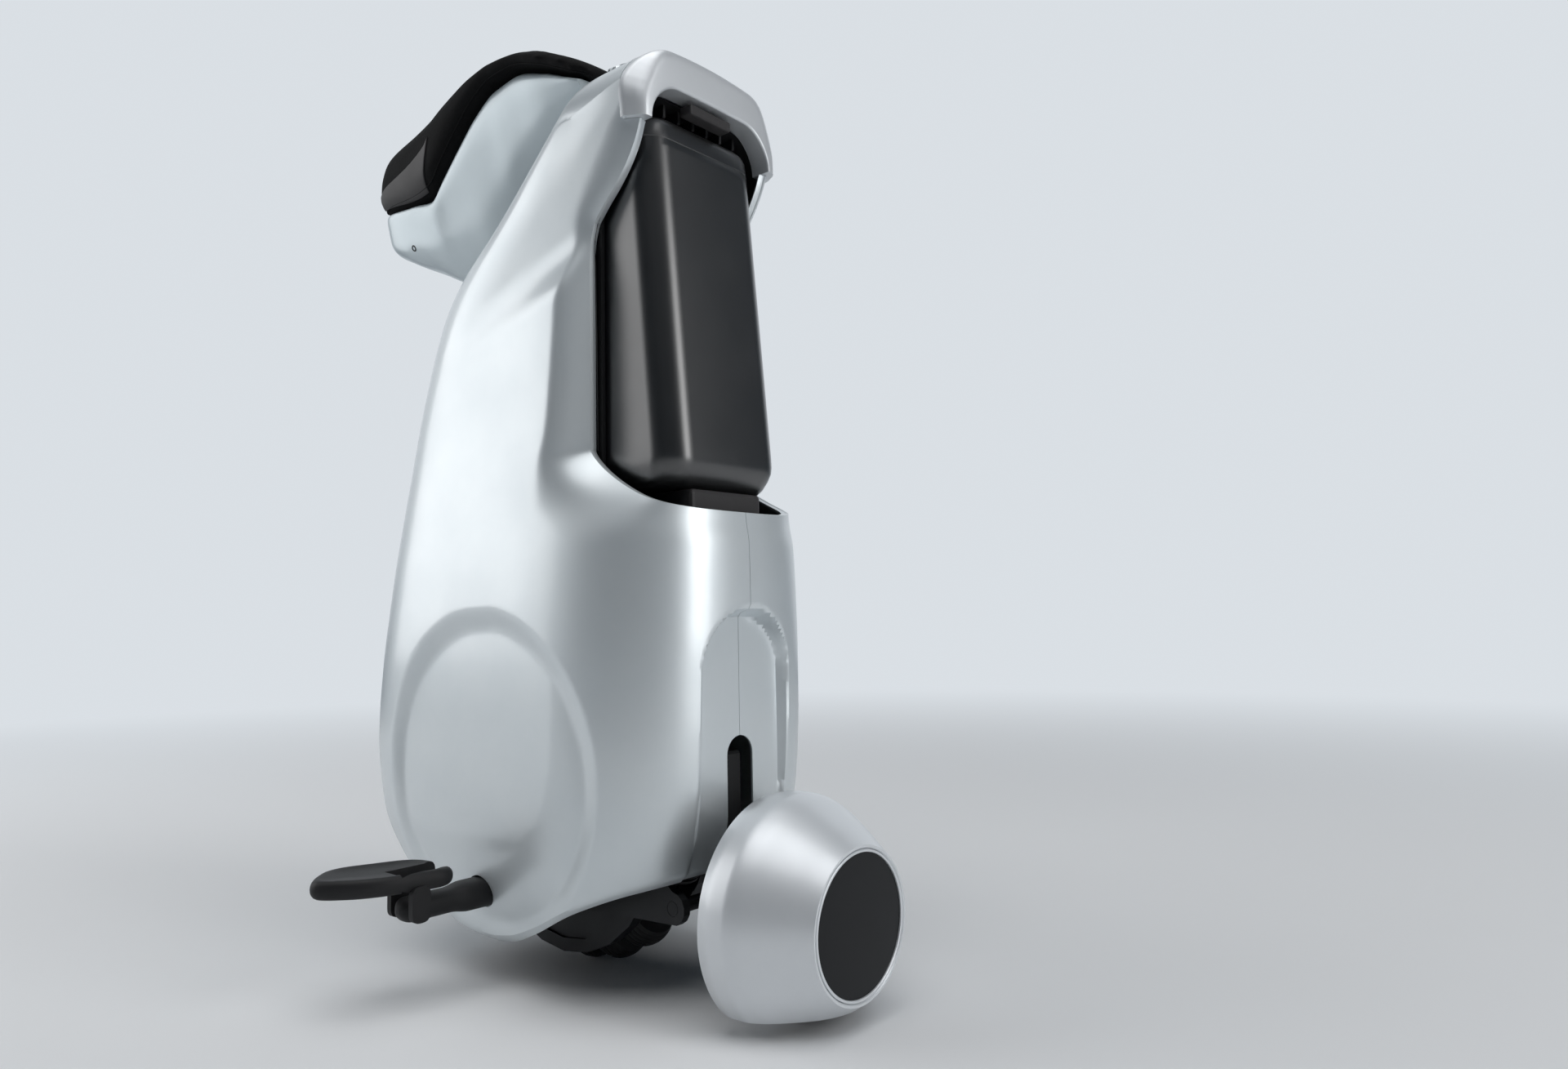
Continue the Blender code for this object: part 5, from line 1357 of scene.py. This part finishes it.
@dataclass
class Studio:
    """Pale floor, soft lights and the camera at the photograph's angle."""

    focal_px: float = 1299.86
    image_width: float = 1920
    sensor: float = 36
    nearest: float = 0.01
    heading: float = 0.8794
    pitch: float = 0.0733
    roll: float = -0.018
    place: Triple = (0.5729, 0.6764, 0.2713)
    wall_away: float = 6.0
    wall_top: float = 7.0
    bend_radius: float = 2.0
    near_tone: Triple = (0.78, 0.79, 0.80)
    # Far tone of floor and wall: painted shade of an unlit room, seen in mirror rays and bounces.
    far_shade_tone: Triple = (0.12, 0.17, 0.22)
    glow: Triple = (0.70, 0.74, 0.78)
    tone_run: Pair = (2.0, 4.0)
    glow_run: Pair = (0.5, 3.0)
    mirror_run: Pair = (3.2, 4.8)
    floor_roughness: float = 0.8
    world_tone: Triple = (0.66, 0.78, 0.90)
    world_strength: float = 0.16
    lamps: tuple[tuple[str, Triple, Triple, Pair, float], ...] = (
        ("left_wall", (1.2, -1.72, 1.05), (0, 0, 0.45), (1.8, 1.7), 19),
        ("right_wall", (-0.45, 2.15, 0.9), (0, 0, 0.3), (0.9, 1.6), 20),
        ("top", (0.2, -0.2, 2.4), (0, 0, 0.3), (1.6, 1.6), 8))
    sun_strength: float = 1.35
    sun_spread: float = math.radians(60)
    sun_turn: Triple = (math.radians(-20), math.radians(20), 0)

    def build(self) -> None:
        """Set the camera, floor, lamps and world."""
        self._camera()
        self._floor()
        self._world()
        for lamp in self.lamps:
            self._lamp(*lamp)
        sun = link("ceiling", bpy.data.lights.new("ceiling", "SUN"))
        sun.data.energy = self.sun_strength
        sun.data.angle = self.sun_spread
        sun.rotation_euler = self.sun_turn

    def _camera(self) -> None:
        """Camera turned by heading, pitch and roll."""
        right = np.array([-math.cos(self.heading), math.sin(self.heading), 0])
        level = np.array([-math.sin(self.heading), -math.cos(self.heading), 0])
        z = np.array([0, 0, 1.0])
        ahead = level * math.cos(self.pitch) + z * math.sin(self.pitch)
        up = z * math.cos(self.pitch) - level * math.sin(self.pitch)
        right, up = (right * math.cos(self.roll) + up * math.sin(self.roll),
                     up * math.cos(self.roll) - right * math.sin(self.roll))
        data = bpy.data.cameras.new("photo_camera")
        data.sensor_width = self.sensor
        data.lens = self.focal_px / self.image_width * data.sensor_width
        data.clip_start = self.nearest
        camera = link("photo_camera", data)
        axes = Matrix((right, up, -ahead)).transposed()
        camera.matrix_world = Matrix.Translation(Vector(self.place)) @ axes.to_4x4()
        bpy.context.scene.camera = camera

    def _floor(self) -> None:
        """Pale round floor and wall: a level, a quarter circle and a straight, turned about Z."""
        bend = arc(self.wall_away - self.bend_radius, self.bend_radius, self.bend_radius, -90, 0, 24)
        level = np.column_stack([np.linspace(0, bend[0, 0], 30), np.zeros(30)])
        path = np.vstack([level, bend, [self.wall_away, self.wall_top]])
        floor = link("floor", face(revolve("floor", path, "Z", (0, 0, 0), 128, closed=False), (0, 0, 1)))
        floor.data.materials.append(self._pale())

    def _pale(self) -> bpy.types.Material:
        """Matt pale sheet, painted dark far out as the shade of a large room, that turns into plain pale
        light with distance.

        Camera rays see that light on every side, mirror and glass rays only on the side behind the object.
        """
        made = bpy.data.materials.new("floor_pale")
        made.use_nodes = True
        tree = made.node_tree
        shader, rays = tree.nodes["Principled BSDF"], node(tree, "LightPath").outputs
        place = node(tree, "TexCoord").outputs["Object"]
        far, away, behind = (self._measure(tree, kind, place, *run) for kind, run in (
            ("LENGTH", self.tone_run), ("LENGTH", self.glow_run), ("DOT_PRODUCT", self.mirror_run)))
        tone = node(tree, "Mix", {"Factor": far, "A": (*self.near_tone, 1), "B": (*self.far_shade_tone, 1)},
                    data_type="RGBA")
        feed(tree, shader, {"Roughness": self.floor_roughness, "Base Color": tone.outputs["Result"]})
        mirror = self._math(tree, "MAXIMUM", rays["Is Glossy Ray"], rays["Is Transmission Ray"])
        mirror = self._math(tree, "MULTIPLY", mirror, behind)
        seen = self._math(tree, "MAXIMUM", rays["Is Camera Ray"], mirror)
        light = node(tree, "Emission", {"Color": (*self.glow, 1)})
        mixed = node(tree, "MixShader", {0: self._math(tree, "MULTIPLY", seen, away), 1: shader.outputs[0],
                                         2: light.outputs[0]})
        feed(tree, tree.nodes["Material Output"], {"Surface": mixed.outputs[0]})
        return made

    def _measure(self, tree: Tree, kind: str, place: Socket, first: float, last: float) -> Socket:
        """Smooth share, between two lengths, of a distance or of a reach along the camera's heading."""
        heading = (-math.sin(self.heading), -math.cos(self.heading), 0)
        measure = node(tree, "VectorMath", {0: place, 1: heading}, operation=kind).outputs["Value"]
        share = node(tree, "MapRange", {"Value": measure, "From Min": first, "From Max": last},
                     interpolation_type="SMOOTHSTEP")
        return share.outputs["Result"]

    @staticmethod
    def _math(tree: Tree, kind: str, first: Socket, second: Socket) -> Socket:
        """Two values joined by a math node."""
        return node(tree, "Math", {0: first, 1: second}, operation=kind).outputs[0]

    def _world(self) -> None:
        """Dim even light."""
        world = bpy.data.worlds.new("studio")
        world.use_nodes = True
        feed(world.node_tree, world.node_tree.nodes["Background"],
             {"Color": (*self.world_tone, 1), "Strength": self.world_strength})
        bpy.context.scene.world = world

    @staticmethod
    def _lamp(name: str, place: Triple, aim: Triple, size: Pair, power: float) -> None:
        """A soft rectangular lamp aimed at a point.

        Args:
            name: Lamp name.
            place: Where it hangs.
            aim: Point that it faces.
            size: Width and height.
            power: Watts.
        """
        data = bpy.data.lights.new(name, "AREA")
        data.shape = "RECTANGLE"
        data.energy = power
        data.size, data.size_y = size
        lamp = link(name, data)
        lamp.location = place
        lamp.rotation_euler = (Vector(aim) - Vector(place)).to_track_quat("-Z", "Y").to_euler()


def dress_frame(frame: dict) -> None:
    """Give every CAD node the finish of its record slot."""
    slots = {row["node"]: row["material_slot"] for row in frame["record"]["subparts"]}
    for name, item in frame["nodes"].items():
        item.data.materials.clear()
        item.data.materials.append(SLOT_FINISH[slots[name]].material())


def main() -> None:
    """Build the studio and each sub-assembly in order."""
    logging.basicConfig(level=logging.INFO, format="%(name)s %(message)s")
    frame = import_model()
    bpy.context.scene.view_settings.view_transform = "Standard"
    Studio().build()
    dress_frame(frame)
    for part in (BodyShells(), HandleArch(), Battery(), Saddle(), Footrests(), MainWheel(), TailUnit()):
        part.build()


if __name__ == "__main__":
    main()
